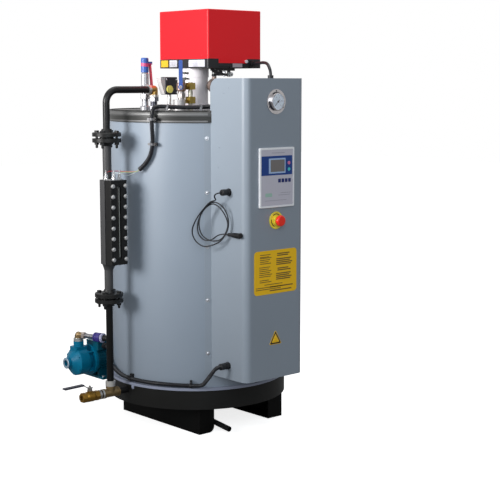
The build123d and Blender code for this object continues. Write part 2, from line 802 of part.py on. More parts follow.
# Level cover: thick plate on a recessed joint, with the sight glass's slot and two rows of bolts
cover_bolts = 8
cover_edge = 21.5
bolt_spread = 28.5
bolt_pitch = (chamber_height - 2 * cover_edge) / (cover_bolts - 1)
glass_width = 18
glass_length = chamber_height - 39
cover_bolt_height = 8
with BuildPart() as level_cover:
    thickness = chamber_joint - chamber_front
    with Locations((column_x, chamber_joint - thickness / 2, chamber_centre_z)):
        Box(2 * chamber_half_width, thickness, chamber_height)
    fillet(level_cover.edges().filter_by(Axis.Z).group_by(Axis.Y)[0], radius=3)
    with Locations((column_x, chamber_joint - cover_gap / 2, chamber_centre_z)):
        Box(2 * chamber_half_width + 2, cover_gap, chamber_height + 2, mode=Mode.SUBTRACT)
        Box(2 * chamber_half_width - 8, cover_gap, chamber_height - 8)
    with BuildSketch(Plane.XZ.offset(-chamber_front)):
        with Locations((column_x, chamber_centre_z)):
            SlotOverall(glass_length, glass_width, rotation=90)
    extrude(amount=-8, mode=Mode.SUBTRACT)
    with BuildSketch(Plane.XZ.offset(-chamber_front)):
        with Locations((column_x, chamber_centre_z)):
            with GridLocations(2 * bolt_spread, bolt_pitch, 2, cover_bolts):
                Circle(8)
    extrude(amount=cover_bolt_height)
    domes = level_cover.edges().filter_by(GeomType.CIRCLE).group_by(Axis.Y)[0]
    chamfer(domes, length=3)
write(level_cover, "level_cover")

# Level probes: a clamp bar with three studs in hexagonal plugs on the chamber's top
with BuildPart() as level_probes:
    for x, y in probe_places:
        with BuildSketch(Plane.XY.offset(chamber_top)):
            with Locations((x, y)):
                RegularPolygon(8.5, 6)
        extrude(amount=14)
        with BuildSketch(Plane.XY.offset(chamber_top)):
            with Locations((x, y)):
                Circle(6)
        extrude(amount=22)
        with BuildSketch(Plane.XY.offset(chamber_top)):
            with Locations((x, y)):
                Circle(3)
        extrude(amount=36)
    with Locations(((middle_x + right_x) / 2, middle_y, chamber_top + 2)):
        Box(right_x - middle_x + 16, 14, 4)
    with Locations((left_x, (left_y + middle_y) / 2, chamber_top + 2)):
        Box(14, middle_y - left_y - 14 if middle_y > left_y else left_y - middle_y + 14, 4)
    with Locations(((left_x + middle_x) / 2, middle_y, chamber_top + 2)):
        Box(middle_x - left_x + 14, 14, 4)
write(level_probes, "level_probes")

# Drain at the column's foot: a tee with beaded ends, a nipple into the skirt, and a ball valve
tee_half = 36
tee_radius = 17
bead_radius = 19
tee_left = column_x - tee_half
tee_right = column_x + tee_half
with BuildPart() as drain_tee:
    with BuildSketch(Plane.YZ.offset(tee_left)):
        with Locations((0, drain_z)):
            Circle(tee_radius)
    extrude(amount=2 * tee_half)
    for bead_x in (tee_left, tee_right - 8):
        with BuildSketch(Plane.YZ.offset(bead_x)):
            with Locations((0, drain_z)):
                Circle(bead_radius)
        extrude(amount=8)
    with BuildSketch(Plane.XY.offset(drain_z)):
        with Locations((column_x, 0)):
            Circle(tee_radius)
    extrude(amount=collar_bottom - drain_z)
    with BuildSketch(Plane.XY.offset(collar_bottom - 8)):
        with Locations((column_x, 0)):
            Circle(bead_radius)
    extrude(amount=8)
write(drain_tee, "drain_tee")

with BuildPart() as drain_nipple:
    with BuildSketch(Plane.YZ.offset(tee_right)):
        with Locations((0, drain_z)):
            Circle(pipe_20)
    extrude(amount=-(base_radius - skirt_wall - 20) - tee_right)
write(drain_nipple, "drain_nipple")

# Drain valve: union rings, a turned body with hexagonal ends, a packing nut and a stem
valve_length = 78
union_length = 22
valve_right = tee_left - union_length
valve_left = valve_right - valve_length
stem_x = (valve_left + valve_right) / 2
stem_radius_small = 4
packing_top = drain_z + 32
stem_top = drain_z + 43
lever_thickness = 3
with BuildPart() as drain_valve:
    with BuildSketch(Plane.XZ):
        with BuildLine():
            Polyline(
                (valve_left, drain_z),
                (valve_left, drain_z + 16.5),
                (valve_left + 4, drain_z + 17.5),
                (valve_left + 20, drain_z + 17.5),
                (valve_left + 26, drain_z + 20),
                (valve_right - 26, drain_z + 20),
                (valve_right - 20, drain_z + 17.5),
                (valve_right, drain_z + 17.5),
                (valve_right, drain_z + 15),
                (valve_right + 2, drain_z + 15),
                (valve_right + 2, drain_z + 18.5),
                (valve_right + 8, drain_z + 18.5),
                (valve_right + 8, drain_z + 16),
                (valve_right + 14, drain_z + 16),
                (valve_right + 14, drain_z + 18.5),
                (tee_left, drain_z + 18.5),
                (tee_left, drain_z),
                close=True,
            )
        make_face()
    revolve(axis=Axis((0, 0, drain_z), (1, 0, 0)))
    for hex_x in (valve_left + 3, valve_right - 19):
        with BuildSketch(Plane.YZ.offset(hex_x)):
            with Locations((0, drain_z)):
                RegularPolygon(20, 6)
        extrude(amount=16)
    with BuildSketch(Plane.XY.offset(drain_z)):
        with Locations((stem_x, 0)):
            Circle(10)
    extrude(amount=26)
    with BuildSketch(Plane.XY.offset(drain_z + 24)):
        with Locations((stem_x, 0)):
            RegularPolygon(10, 6)
    extrude(amount=packing_top - drain_z - 24)
    with BuildSketch(Plane.XY.offset(drain_z)):
        with Locations((stem_x, 0)):
            Circle(stem_radius_small)
    extrude(amount=stem_top - drain_z)
    with BuildSketch(Plane.YZ.offset(valve_left)):
        with Locations((0, drain_z)):
            Circle(9)
    extrude(amount=22, mode=Mode.SUBTRACT)
write(drain_valve, "drain_valve")

# Drain lever: cranked flat steel with a moulded sleeve on its outer length
lever_bottom = packing_top + 1
lever_rise = 13
sleeve_start = stem_x - 30
lever_end = stem_x - 118
with BuildPart() as drain_lever:
    with BuildSketch(Plane.XZ.offset(-8)):
        with BuildLine():
            Polyline(
                (stem_x + 10, lever_bottom),
                (stem_x - 8, lever_bottom),
                (sleeve_start, lever_bottom + lever_rise + 2),
                (lever_end + 2, lever_bottom + lever_rise),
                (lever_end + 2, lever_bottom + lever_rise + lever_thickness),
                (sleeve_start - 1, lever_bottom + lever_rise + lever_thickness + 2),
                (stem_x - 9, lever_bottom + lever_thickness),
                (stem_x + 10, lever_bottom + lever_thickness),
                close=True,
            )
        make_face()
    extrude(amount=16)
    with BuildSketch(Plane.XZ.offset(-9.5)):
        with BuildLine():
            Polyline(
                (sleeve_start, lever_bottom + lever_rise + 0.4),
                (lever_end, lever_bottom + lever_rise - 1.6),
                (lever_end, lever_bottom + lever_rise + lever_thickness + 1.6),
                (sleeve_start, lever_bottom + lever_rise + lever_thickness + 3.6),
                close=True,
            )
        make_face()
    extrude(amount=19)
    sleeve_edges = drain_lever.edges().filter_by(Axis.Y).group_by(Axis.X)[0]
    fillet(sleeve_edges, radius=2.5)
    with BuildSketch(Plane.XY.offset(lever_bottom)):
        with Locations((stem_x, 0)):
            Circle(stem_radius_small + running_fit)
    extrude(amount=lever_thickness, mode=Mode.SUBTRACT)
write(drain_lever, "drain_lever")

# Blowdown stub: out of the boiler's bottom, down, and forward between the rails
with BuildPart() as blowdown_pipe:
    with BuildLine() as blowdown_path:
        FilletPolyline(
            (blowdown_x, blowdown_y, plate_bottom),
            (blowdown_x, blowdown_y, blowdown_z),
            (blowdown_x, blowdown_end_y, blowdown_end_z),
            radius=40,
        )
    route = blowdown_path.wire()
    with BuildSketch(Plane(origin=route @ 0, z_dir=route % 0)):
        Circle(blowdown_radius)
    sweep(path=route)
    with BuildSketch(Plane(origin=route @ 1, z_dir=route % 1)):
        Circle(blowdown_radius - 2.7)
    extrude(amount=-30, mode=Mode.SUBTRACT)
write(blowdown_pipe, "blowdown_pipe")

# Feed pump: turned head with a suction port, volute and lantern, and an outlet boss on top
pump_face = -352
volute_front = pump_face + 40
volute_back = volute_front + 50
lantern_back = volute_back + 22
motor_left = lantern_back + 12
motor_right = -82
motor_radius = 60
volute_radius = 58
port_radius = 23.5
outlet_boss_top = 278
outlet_boss_radius = 21.5
with BuildPart() as pump_head:
    with BuildSketch(Plane.XZ.offset(-pump_y)):
        with BuildLine():
            Polyline(
                (pump_face, pump_z),
                (pump_face, pump_z + port_radius),
                (pump_face + 16, pump_z + port_radius),
                (pump_face + 20, pump_z + 30),
                (volute_front - 6, pump_z + 48),
                (volute_front, pump_z + volute_radius - 3),
                (volute_front + 3, pump_z + volute_radius),
                (volute_back - 3, pump_z + volute_radius),
                (volute_back, pump_z + volute_radius - 3),
                (volute_back, pump_z + 44),
                (lantern_back, pump_z + 40),
                (lantern_back, pump_z + 64),
                (motor_left, pump_z + 64),
                (motor_left, pump_z),
                close=True,
            )
        make_face()
    revolve(axis=Axis((0, pump_y, pump_z), (1, 0, 0)))
    with BuildSketch(Plane.XY.offset(pump_z)):
        with Locations((outlet_x, pump_y)):
            Circle(outlet_boss_radius)
    extrude(amount=outlet_boss_top - pump_z)
    with BuildSketch(Plane.XY.offset(pump_z + 40)):
        with Locations((outlet_x, pump_y)):
            RectangleRounded(62, 50, 8)
    extrude(amount=26)
    with BuildSketch(Plane.YZ.offset(volute_front - 4)):
        with Locations((pump_y, pump_z)):
            with PolarLocations(49, 6, start_angle=30):
                Circle(6)
    extrude(amount=12)
    with BuildSketch(Plane.YZ.offset(volute_back - 1)):
        with Locations((pump_y, pump_z)):
            with PolarLocations(50, 4, start_angle=45):
                RectangleRounded(22, 8, 2)
    extrude(amount=lantern_back - volute_back + 2)
    with BuildSketch(Plane.YZ.offset(pump_face)):
        with Locations((pump_y, pump_z)):
            Circle(13)
    extrude(amount=24, mode=Mode.SUBTRACT)
write(pump_head, "pump_head")

# Pump motor: finned body on a foot plate, with its fan cover and a terminal box on top
fin_count = 26
fin_height = 6
body_radius = motor_radius - fin_height
fan_cover_length = 34
foot_left = -217
foot_right = foot_left + 104
foot_half_depth = 74.5
with BuildPart() as pump_motor:
    with BuildSketch(Plane.YZ.offset(motor_left)):
        with Locations((pump_y, pump_z)):
            Circle(body_radius)
            with PolarLocations(body_radius + fin_height / 2 - 1, fin_count):
                Rectangle(fin_height + 2, 2.4)
    extrude(amount=motor_right - fan_cover_length - motor_left)
    with BuildSketch(Plane.YZ.offset(motor_left)):
        with Locations((pump_y, pump_z)):
            Circle(motor_radius + 2)
    extrude(amount=8)
    with BuildSketch(Plane.YZ.offset(motor_right - fan_cover_length)):
        with Locations((pump_y, pump_z)):
            Circle(motor_radius)
    extrude(amount=fan_cover_length)
    fillet(pump_motor.edges().group_by(Axis.X)[-1], radius=8)
    for web_y in (pump_y - 38, pump_y + 26):
        with Locations(((foot_left + foot_right) / 2, web_y + 6, (shelf_top + pump_z) / 2)):
            Box(foot_right - foot_left - 14, 12, pump_z - shelf_top)
    with Locations(((foot_left + foot_right) / 2, pump_y, shelf_top + 5)):
        Box(foot_right - foot_left, 2 * foot_half_depth, 10)
    box_middle = (box_left + box_width / 2, box_front + box_depth / 2)
    with BuildSketch(Plane.XY.offset(box_bottom)):
        with Locations(box_middle):
            RectangleRounded(box_width, box_depth, 6)
    extrude(amount=box_top - box_bottom - 8)
    with BuildSketch(Plane.XY.offset(box_top - 7)):
        with Locations(box_middle):
            RectangleRounded(box_width + 2, box_depth, 6)
    extrude(amount=7)
    with BuildSketch(Plane.XY.offset(box_top - 9)):
        with Locations(box_middle):
            RectangleRounded(box_width - 4, box_depth - 4, 5)
    extrude(amount=3)
write(pump_motor, "pump_motor")

# Pump outlet: a union nut and a short elbow that turns to the feed run
elbow_radius = 12
check_start = 88
check_length = 47
with BuildPart() as pump_outlet:
    with BuildSketch(Plane.XY.offset(outlet_boss_top)):
        with Locations((outlet_x, pump_y)):
            Circle(21)
    extrude(amount=13)
    with BuildSketch(Plane.XY.offset(outlet_boss_top + 13)):
        with Locations((outlet_x, pump_y)):
            Circle(16)
    extrude(amount=feed_z - outlet_boss_top - 13)
    with Locations(feed_start):
        Sphere(elbow_radius + 2)
    with BuildSketch(feed_plane):
        Circle(elbow_radius)
    extrude(amount=34)
    with BuildSketch(feed_plane.offset(24)):
        RegularPolygon(elbow_radius + 3, 6)
    extrude(amount=12)
    with BuildSketch(feed_plane):
        Circle(10)
    extrude(amount=check_start)
write(pump_outlet, "pump_outlet")

# Check valve: a turned body with a raised band, in the feed run
with BuildPart() as feed_check_valve:
    for start, length, radius in ((0, check_length, 16), (2, 6, 20), (12, 22, 20), (39, 6, 20)):
        with BuildSketch(feed_plane.offset(check_start + start)):
            Circle(radius)
        extrude(amount=length)
write(feed_check_valve, "feed_check_valve")

with BuildPart() as feed_pipe:
    with BuildSketch(feed_plane.offset(check_start + check_length)):
        Circle(pipe_20)
    extrude(amount=feed_length + 14 - check_start - check_length)
write(feed_pipe, "feed_pipe")

# Safety valve behind the steam riser: body, cap and test lever
safety_x = -200
safety_y = 70
with BuildPart() as safety_valve_body:
    with BuildSketch(Plane.XZ.offset(-safety_y)):
        with BuildLine():
            Polyline(
                (safety_x, lid_top),
                (safety_x + 20, lid_top),
                (safety_x + 20, lid_top + 14),
                (safety_x + 13, lid_top + 18),
                (safety_x + 12, lid_top + 44),
                (safety_x + 12, lid_top + 70),
                (safety_x + 19, lid_top + 80),
                (safety_x + 19, lid_top + 92),
                (safety_x + 15, lid_top + 98),
                (safety_x + 15, lid_top + 142),
                (safety_x + 12, lid_top + 148),
                (safety_x, lid_top + 148),
                close=True,
            )
        make_face()
    revolve(axis=Axis((safety_x, safety_y, 0), (0, 0, 1)))
    with BuildSketch(Plane.XY.offset(lid_top + 44)):
        with Locations((safety_x, safety_y)):
            RegularPolygon(19, 6)
    extrude(amount=20)
write(safety_valve_body, "safety_valve_body")

cap_height = 57
pivot_x = safety_x + 24
pivot_z = lid_top + 184
pivot_radius = 2.5
with BuildPart() as safety_valve_cap:
    with BuildSketch(Plane.XY.offset(lid_top + 148)):
        with Locations((safety_x, safety_y)):
            Circle(15)
    extrude(amount=cap_height)
    fillet(safety_valve_cap.edges().group_by(Axis.Z)[-1], radius=5)
    for y in (safety_y - 9, safety_y + 5):
        with BuildSketch(Plane.XZ.offset(-y - 4)):
            with Locations((safety_x + 14, pivot_z)):
                Rectangle(32, 12)
        extrude(amount=4)
    with BuildSketch(Plane.XZ.offset(-safety_y - 9)):
        with Locations((pivot_x, pivot_z)):
            Circle(pivot_radius)
    extrude(amount=18)
write(safety_valve_cap, "safety_valve_cap")

with BuildPart() as safety_valve_lever:
    with BuildSketch(Plane.XZ.offset(-safety_y - 4)):
        with Locations((pivot_x, pivot_z)):
            Circle(5)
        with BuildLine():
            Polyline(
                (pivot_x - 3, pivot_z - 2),
                (pivot_x + 4, pivot_z + 3),
                (pivot_x + 13, pivot_z - 88),
                (pivot_x + 4, pivot_z - 88),
                close=True,
            )
        make_face()
        with Locations((pivot_x, pivot_z)):
            Circle(pivot_radius + running_fit, mode=Mode.SUBTRACT)
    extrude(amount=8)
write(safety_valve_lever, "safety_valve_lever")

# Steam outlet valve: boss on the lid, a ball valve standing on it, and a lever on its stem
outlet_valve_x = -113
outlet_valve_y = -50
outlet_boss_x = -124
outlet_stem_z = lid_top + 91
outlet_top = lid_top + 120
outlet_way = Vector(-0.66, -0.75, 0).normalized()
stem_reach = 40
lever_offset = 27
with BuildPart() as steam_outlet_valve:
    with BuildSketch(Plane.XY.offset(lid_top)):
        with Locations((outlet_boss_x, outlet_valve_y)):
            Circle(25)
    extrude(amount=42)
    for bottom, height in ((lid_top + 50, 16), (outlet_top - 14, 14)):
        with BuildSketch(Plane.XY.offset(bottom)):
            with Locations((outlet_valve_x, outlet_valve_y)):
                RegularPolygon(17, 6)
        extrude(amount=height)
    with BuildSketch(Plane.XY.offset(lid_top + 30)):
        with Locations((outlet_valve_x, outlet_valve_y)):
            Circle(13)
    extrude(amount=outlet_top - 6 - lid_top - 30)
    with BuildSketch(Plane(origin=(outlet_valve_x, outlet_valve_y, outlet_stem_z), x_dir=(1, 0, 0),
                           z_dir=(0, -1, 0))):
        with BuildLine():
            Polyline((0, -17), (14, -17), (19, -12), (19, 12), (14, 17), (0, 17), close=True)
        make_face()
    revolve(axis=Axis((outlet_valve_x, outlet_valve_y, 0), (0, 0, 1)))
    stem_plane = Plane(origin=(outlet_valve_x, outlet_valve_y, outlet_stem_z), z_dir=outlet_way,
                       x_dir=outlet_way.cross(Vector(0, 0, 1)))
    with BuildSketch(stem_plane):
        Circle(8)
    extrude(amount=lever_offset - 2)
    with BuildSketch(stem_plane):
        Circle(4)
    extrude(amount=stem_reach)
    with BuildSketch(Plane.XY.offset(outlet_top)):
        with Locations((outlet_valve_x, outlet_valve_y)):
            Circle(10)
    extrude(amount=-18, mode=Mode.SUBTRACT)
write(steam_outlet_valve, "steam_outlet_valve")

with BuildPart() as steam_outlet_lever:
    with BuildSketch(stem_plane.offset(lever_offset)):
        Circle(10)
        with Locations((0, -52)):
            RectangleRounded(15, 104, 5)
        Circle(4 + running_fit, mode=Mode.SUBTRACT)
    extrude(amount=7)
write(steam_outlet_lever, "steam_outlet_lever")

# Brass vent fitting beside the burner's neck: a pipe with two square blocks
vent_x = -78
vent_y = -64
with BuildPart() as vent_fitting:
    with BuildSketch(Plane.XY.offset(lid_top)):
        with Locations((vent_x, vent_y)):
            Circle(9)
    extrude(amount=110)
    for z in (lid_top + 40, lid_top + 94):
        with Locations((vent_x, vent_y, z)):
            Box(28, 28, 26)
write(vent_fitting, "vent_fitting")

# Pressure switch on its riser: a moulded box with a dial on its face and a tapered side
switch_x = -106
switch_y = 36
switch_width = 60
switch_depth = 32
switch_bottom = lid_top + 61
switch_top = lid_top + 130
with BuildPart() as pressure_switch:
    with BuildSketch(Plane.XY.offset(switch_bottom)):
        with Locations((switch_x, switch_y)):
            RectangleRounded(switch_width, switch_depth, 4)
    extrude(amount=switch_top - switch_bottom)
    fillet(pressure_switch.edges().group_by(Axis.Z)[-1], radius=3)
    with BuildSketch(Plane.XY.offset(lid_top)):
        with Locations((switch_x, switch_y)):
            Circle(8)
    extrude(amount=switch_bottom - lid_top)
    with BuildSketch(Plane.XY.offset(lid_top)):
        with Locations((switch_x, switch_y)):
            RegularPolygon(15, 6)
    extrude(amount=14)
    with BuildSketch(Plane.XZ.offset(-switch_y + switch_depth / 2)):
        with Locations((switch_x - 10, switch_bottom + 21)):
            Circle(15)
    extrude(amount=4)
    with BuildSketch(Plane.XZ.offset(-switch_y - 13)):
        with BuildLine():
            side_x = switch_x - switch_width / 2
            Polyline(
                (side_x + 1, switch_bottom + 2),
                (side_x + 1, switch_top - 3),
                (side_x - 22, switch_top - 3),
                (side_x - 20, switch_top - 20),
                (side_x - 3, switch_bottom + 2),
                close=True,
            )
        make_face()
    extrude(amount=26)
write(pressure_switch, "pressure_switch")

# Burner cable between a gland on the tray and a gland on the cabinet's roof
cable_radius = 6
tray_gland_x = 165
with BuildPart() as cable_gland_burner:
    with BuildSketch(Plane.XZ.offset(burner_half_depth)):
        with Locations((tray_gland_x, (tray_bottom + tray_top) / 2)):
            Circle(11)
    extrude(amount=16)
write(cable_gland_burner, "cable_gland_burner")

roof_gland_x = 68
roof_gland_y = cabinet_front + 130
gland_reach = 16
roof_gland_height = 12
with BuildPart() as cable_gland_roof:
    with BuildSketch(Plane.XY.offset(cabinet_top_z)):
        with Locations((roof_gland_x, roof_gland_y)):
            Circle(11)
    extrude(amount=roof_gland_height)
write(cable_gland_roof, "cable_gland_roof")

cable_start = Vector(tray_gland_x, -burner_half_depth - gland_reach, (tray_bottom + tray_top) / 2)
cable_end = Vector(roof_gland_x, roof_gland_y, cabinet_top_z + roof_gland_height)
cable_way = Vector(cable_end.X - cable_start.X, cable_end.Y - cable_start.Y, 0).normalized()
cable_route = [cable_start, cable_start + Vector(0, -14, 0)]
for reach, rise in ((52, 4), (88, 3), (124, 0), (156, -5), (182, -13), (203, -22)):
    cable_route.append(cable_start + cable_way * reach + Vector(0, 0, rise))
cable_route += [cable_end + Vector(0, 0, 18), cable_end]
tube([tuple(point) for point in cable_route], cable_radius, "burner_cable")

# Sensor plug on the cabinet's front left corner: a boot lying along the side
boot_y = cabinet_front + 22
boot_z = 803
boot_reach = 14
boot_length = 66
with BuildPart() as sensor_plug:
    with BuildSketch(Plane(origin=(cabinet_left, boot_y + 6, boot_z), x_dir=(0, 1, 0),
                           z_dir=(-1, 0, 0))):
        Circle(10)
    extrude(amount=boot_reach)
    for reach, radius in ((boot_length * 0.6, 9), (boot_length, 6.5)):
        with BuildSketch(Plane.XZ.offset(-boot_y + 4)):
            with Locations((cabinet_left - boot_reach, boot_z)):
                Circle(radius)
        extrude(amount=-reach)
write(sensor_plug, "sensor_plug")

# Sensor lead: a loose coil against the jacket, with a short tail to the gland and one to the plug
lead_radius = 2.5
coil_away = 61
coil_angle = 239
coil_height = 848
coil_centre = Vector(*on_circle(jacket_radius + coil_away, coil_angle, coil_height))
coil_across = Vector(0.341, -0.940, 0).normalized()
coil_plane = Plane(origin=coil_centre, x_dir=coil_across, z_dir=coil_across.cross(Vector(0, 0, 1)))
coil_outline = ((32, 79), (67, 40), (76, -12), (46, -66), (-4, -88), (-52, -79), (-76, -38),
                (-62, 3), (-22, 52))
coil_top_place = (31, 79, 0)
with BuildPart() as sensor_coil:
    for scale_down, mode in ((1, Mode.ADD), (0.78, Mode.SUBTRACT)):
        with BuildSketch(coil_plane):
            with BuildLine():
                Spline([(scale_down * x, scale_down * y) for x, y in coil_outline], periodic=True)
            make_face()
        extrude(amount=8 + (1 - scale_down) * 10, both=True, mode=mode)
write(sensor_coil, "sensor_coil")

gland_tip = cabinet_left - gland_length
coil_top = coil_plane.from_local_coords(coil_top_place)
tail_route = [
    (gland_tip, *upper_gland),
    (gland_tip - 13, *upper_gland),
    (gland_tip - 17, upper_gland[0] + 10, upper_gland[1] - 6),
    (gland_tip - 8, upper_gland[0] + 24, upper_gland[1] - 18),
    (coil_top.X, coil_top.Y, coil_top.Z),
]
tube(tail_route, lead_radius, "sensor_tail_gland")

plug_end = boot_y - 4 + boot_length
with BuildPart() as sensor_tail_plug:
    with BuildSketch(Plane.XZ.offset(-plug_end)):
        with Locations((cabinet_left - boot_reach, boot_z)):
            Circle(lead_radius)
    extrude(amount=-10)
write(sensor_tail_plug, "sensor_tail_plug")
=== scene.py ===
from itertools import accumulate
from math import cos, pi, radians, sin
import bmesh
import bpy
import numpy as np
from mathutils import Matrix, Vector


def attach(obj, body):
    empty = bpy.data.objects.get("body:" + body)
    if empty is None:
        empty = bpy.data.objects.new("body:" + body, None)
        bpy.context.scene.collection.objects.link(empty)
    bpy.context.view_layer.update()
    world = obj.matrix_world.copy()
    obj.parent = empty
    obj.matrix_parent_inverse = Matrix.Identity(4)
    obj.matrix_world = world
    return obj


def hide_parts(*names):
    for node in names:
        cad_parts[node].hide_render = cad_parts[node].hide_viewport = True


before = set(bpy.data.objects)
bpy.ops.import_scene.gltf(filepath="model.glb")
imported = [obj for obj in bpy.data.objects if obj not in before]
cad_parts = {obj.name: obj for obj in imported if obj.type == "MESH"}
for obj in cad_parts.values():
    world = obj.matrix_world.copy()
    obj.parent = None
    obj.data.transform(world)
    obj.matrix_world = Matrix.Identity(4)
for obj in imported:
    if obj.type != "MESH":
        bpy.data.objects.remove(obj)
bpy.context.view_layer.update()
scene = bpy.context.scene


# Camera: stands to the front left of the boiler at head height and looks slightly down, with the
# long lens that the picture was taken with.
def added(name, data):
    """A new object in the scene, made of a camera, a light, a curve or a mesh."""
    made = bpy.data.objects.new(name, data)
    scene.collection.objects.link(made)
    return made


camera_data = bpy.data.cameras.new("camera")
camera_data.sensor_width = 36
camera_data.lens = 88.766
camera = added("camera", camera_data)
camera.location = (-3.1416, -3.8869, 1.3624)
camera.rotation_euler = (radians(90 - 7.7132), 0, radians(-41.452))
scene.camera = camera


# Sensor lead: thin black round cable from the upper gland, in two and a half loose turns that hang
# against the cabinet's side, and back into the moulded plug. The turns differ in size and fan out.
def feed(tree, made, inputs):
    """Gives a node its inputs. Each is a plain value or another node's output socket."""
    for key, value in inputs.items():
        if isinstance(value, bpy.types.NodeSocket):
            tree.links.new(value, made.inputs[key])
        else:
            made.inputs[key].default_value = value


def node(tree, kind, inputs=None, **settings):
    """Adds one shader node to a tree, with its settings and its inputs."""
    made = tree.nodes.new("ShaderNode" + kind)
    for key, value in settings.items():
        setattr(made, key, value)
    feed(tree, made, inputs or {})
    return made


def math_node(tree, operation, first, second=None, third=None, clamp=False):
    """One arithmetic step on numbers or sockets."""
    values = {i: v for i, v in enumerate((first, second, third)) if v is not None}
    return node(tree, "Math", values, operation=operation, use_clamp=clamp).outputs[0]


def mix_colour(tree, factor, first, second):
    """Blends two colours by a factor. A colour is a socket, three numbers, or one for a grey."""
    ends = {key: colour if isinstance(colour, bpy.types.NodeSocket)
            else (*np.broadcast_to(colour, 3), 1) for key, colour in ((6, first), (7, second))}
    return node(tree, "Mix", {0: factor, **ends}, data_type="RGBA", clamp_factor=True).outputs[2]


def open_group(name, inputs, *outputs):
    """Starts a shader group that takes a place, then vectors and numbers with these as their usual
    values, and gives numbers. Returns its tree, its inputs and its end node."""
    tree = bpy.data.node_groups.new(name, "ShaderNodeTree")
    for label, value in {"Place": (0, 0, 0), **inputs}.items():
        kind = "NodeSocketVector" if isinstance(value, tuple) else "NodeSocketFloat"
        socket = tree.interface.new_socket(name=label, in_out="INPUT", socket_type=kind)
        socket.default_value = value
    for label in outputs:
        tree.interface.new_socket(name=label, in_out="OUTPUT", socket_type="NodeSocketFloat")
    return tree, tree.nodes.new("NodeGroupInput").outputs, tree.nodes.new("NodeGroupOutput")


def group_node(tree, group, **values):
    """Places a shader group in a material with its own values, given by socket name."""
    return node(tree, "Group", values, node_tree=group).outputs


# Grain: two octaves of noise at a stated size give a small height, and a slow noise a change of
# tone. Stretch draws the grain out along an axis, as rolling, drawing or turning does.
grain_group, grain_in, grain_end = open_group(
    "surface grain", {"Stretch": (1, 1, 1), "Fineness": 300, "Patches": 6}, "Height", "Tone")
drawn = node(grain_group, "VectorMath",
             {0: grain_in["Place"], 1: grain_in["Stretch"]}, operation="MULTIPLY").outputs[0]
fine = node(grain_group, "TexNoise", {"Vector": drawn, "Scale": grain_in["Fineness"], "Detail": 2})
slow = node(grain_group, "TexNoise", {
    "Vector": grain_in["Place"], "Scale": grain_in["Patches"], "Detail": 5, "Roughness": 0.6})
feed(grain_group, grain_end, {"Height": fine.outputs[0], "Tone": slow.outputs[0]})

# Dust: settles on faces that look up, thicker in some places than others.
dust_group, dust_in, dust_end = open_group("settled dust", {"Amount": 0.3}, "Mask")
facing = node(dust_group, "NewGeometry").outputs["Normal"]
upward = node(dust_group, "SeparateXYZ", {0: facing}).outputs[2]
cloud = node(dust_group, "TexNoise",
             {"Vector": dust_in["Place"], "Scale": 14, "Detail": 6, "Roughness": 0.65})
lying = math_node(dust_group, "POWER", math_node(dust_group, "MAXIMUM", upward, 0), 2)
patchy = math_node(dust_group, "MULTIPLY_ADD", cloud.outputs[0], 1.6, -0.35, clamp=True)
amount = math_node(dust_group, "MULTIPLY", math_node(dust_group, "MULTIPLY", lying, patchy),
                   dust_in["Amount"], clamp=True)
feed(dust_group, dust_end, {"Mask": amount})

# Edge wear: where the rounded normal leaves the true one, an edge is near; noise breaks it up.
# On the flanges, where it is set high, the pale edges are also a painted highlight.
wear_group, wear_in, wear_end = open_group("edge wear", {"Width": 0.0015, "Amount": 0.5}, "Mask")
rounded = node(wear_group, "Bevel", {"Radius": wear_in["Width"]}, samples=4).outputs[0]
true_face = node(wear_group, "NewGeometry").outputs["Normal"]
likeness = node(wear_group, "VectorMath", {0: rounded, 1: true_face},
                operation="DOT_PRODUCT").outputs["Value"]
edge = math_node(wear_group, "MULTIPLY", math_node(wear_group, "SUBTRACT", 1, likeness), 9,
                 clamp=True)
chips = node(wear_group, "TexNoise",
             {"Vector": wear_in["Place"], "Scale": 90, "Detail": 4, "Roughness": 0.7})
broken = math_node(wear_group, "MULTIPLY_ADD", chips.outputs[0], 4, -1.9, clamp=True)
worn = math_node(wear_group, "MULTIPLY", math_node(wear_group, "MULTIPLY", edge, broken),
                 wear_in["Amount"], clamp=True)
feed(wear_group, wear_end, {"Mask": worn})

# Zone: one where a point's distance along a direction is between two limits, nought elsewhere.
zone_group, zone_in, zone_end = open_group(
    "zone along a direction", {"Along": (0, 0, 1), "From": 0, "To": 1}, "Mask")
reach = node(zone_group, "VectorMath", {0: zone_in["Place"], 1: zone_in["Along"]},
             operation="DOT_PRODUCT").outputs["Value"]
after = math_node(zone_group, "GREATER_THAN", reach, zone_in["From"])
before = math_node(zone_group, "LESS_THAN", reach, zone_in["To"])
feed(zone_group, zone_end, {"Mask": math_node(zone_group, "MULTIPLY", after, before)})


def new_material(name):
    """A new material with its node tree and its Principled shader."""
    made = bpy.data.materials.new(name)
    made.use_nodes = True
    return made, made.node_tree, made.node_tree.nodes["Principled BSDF"]


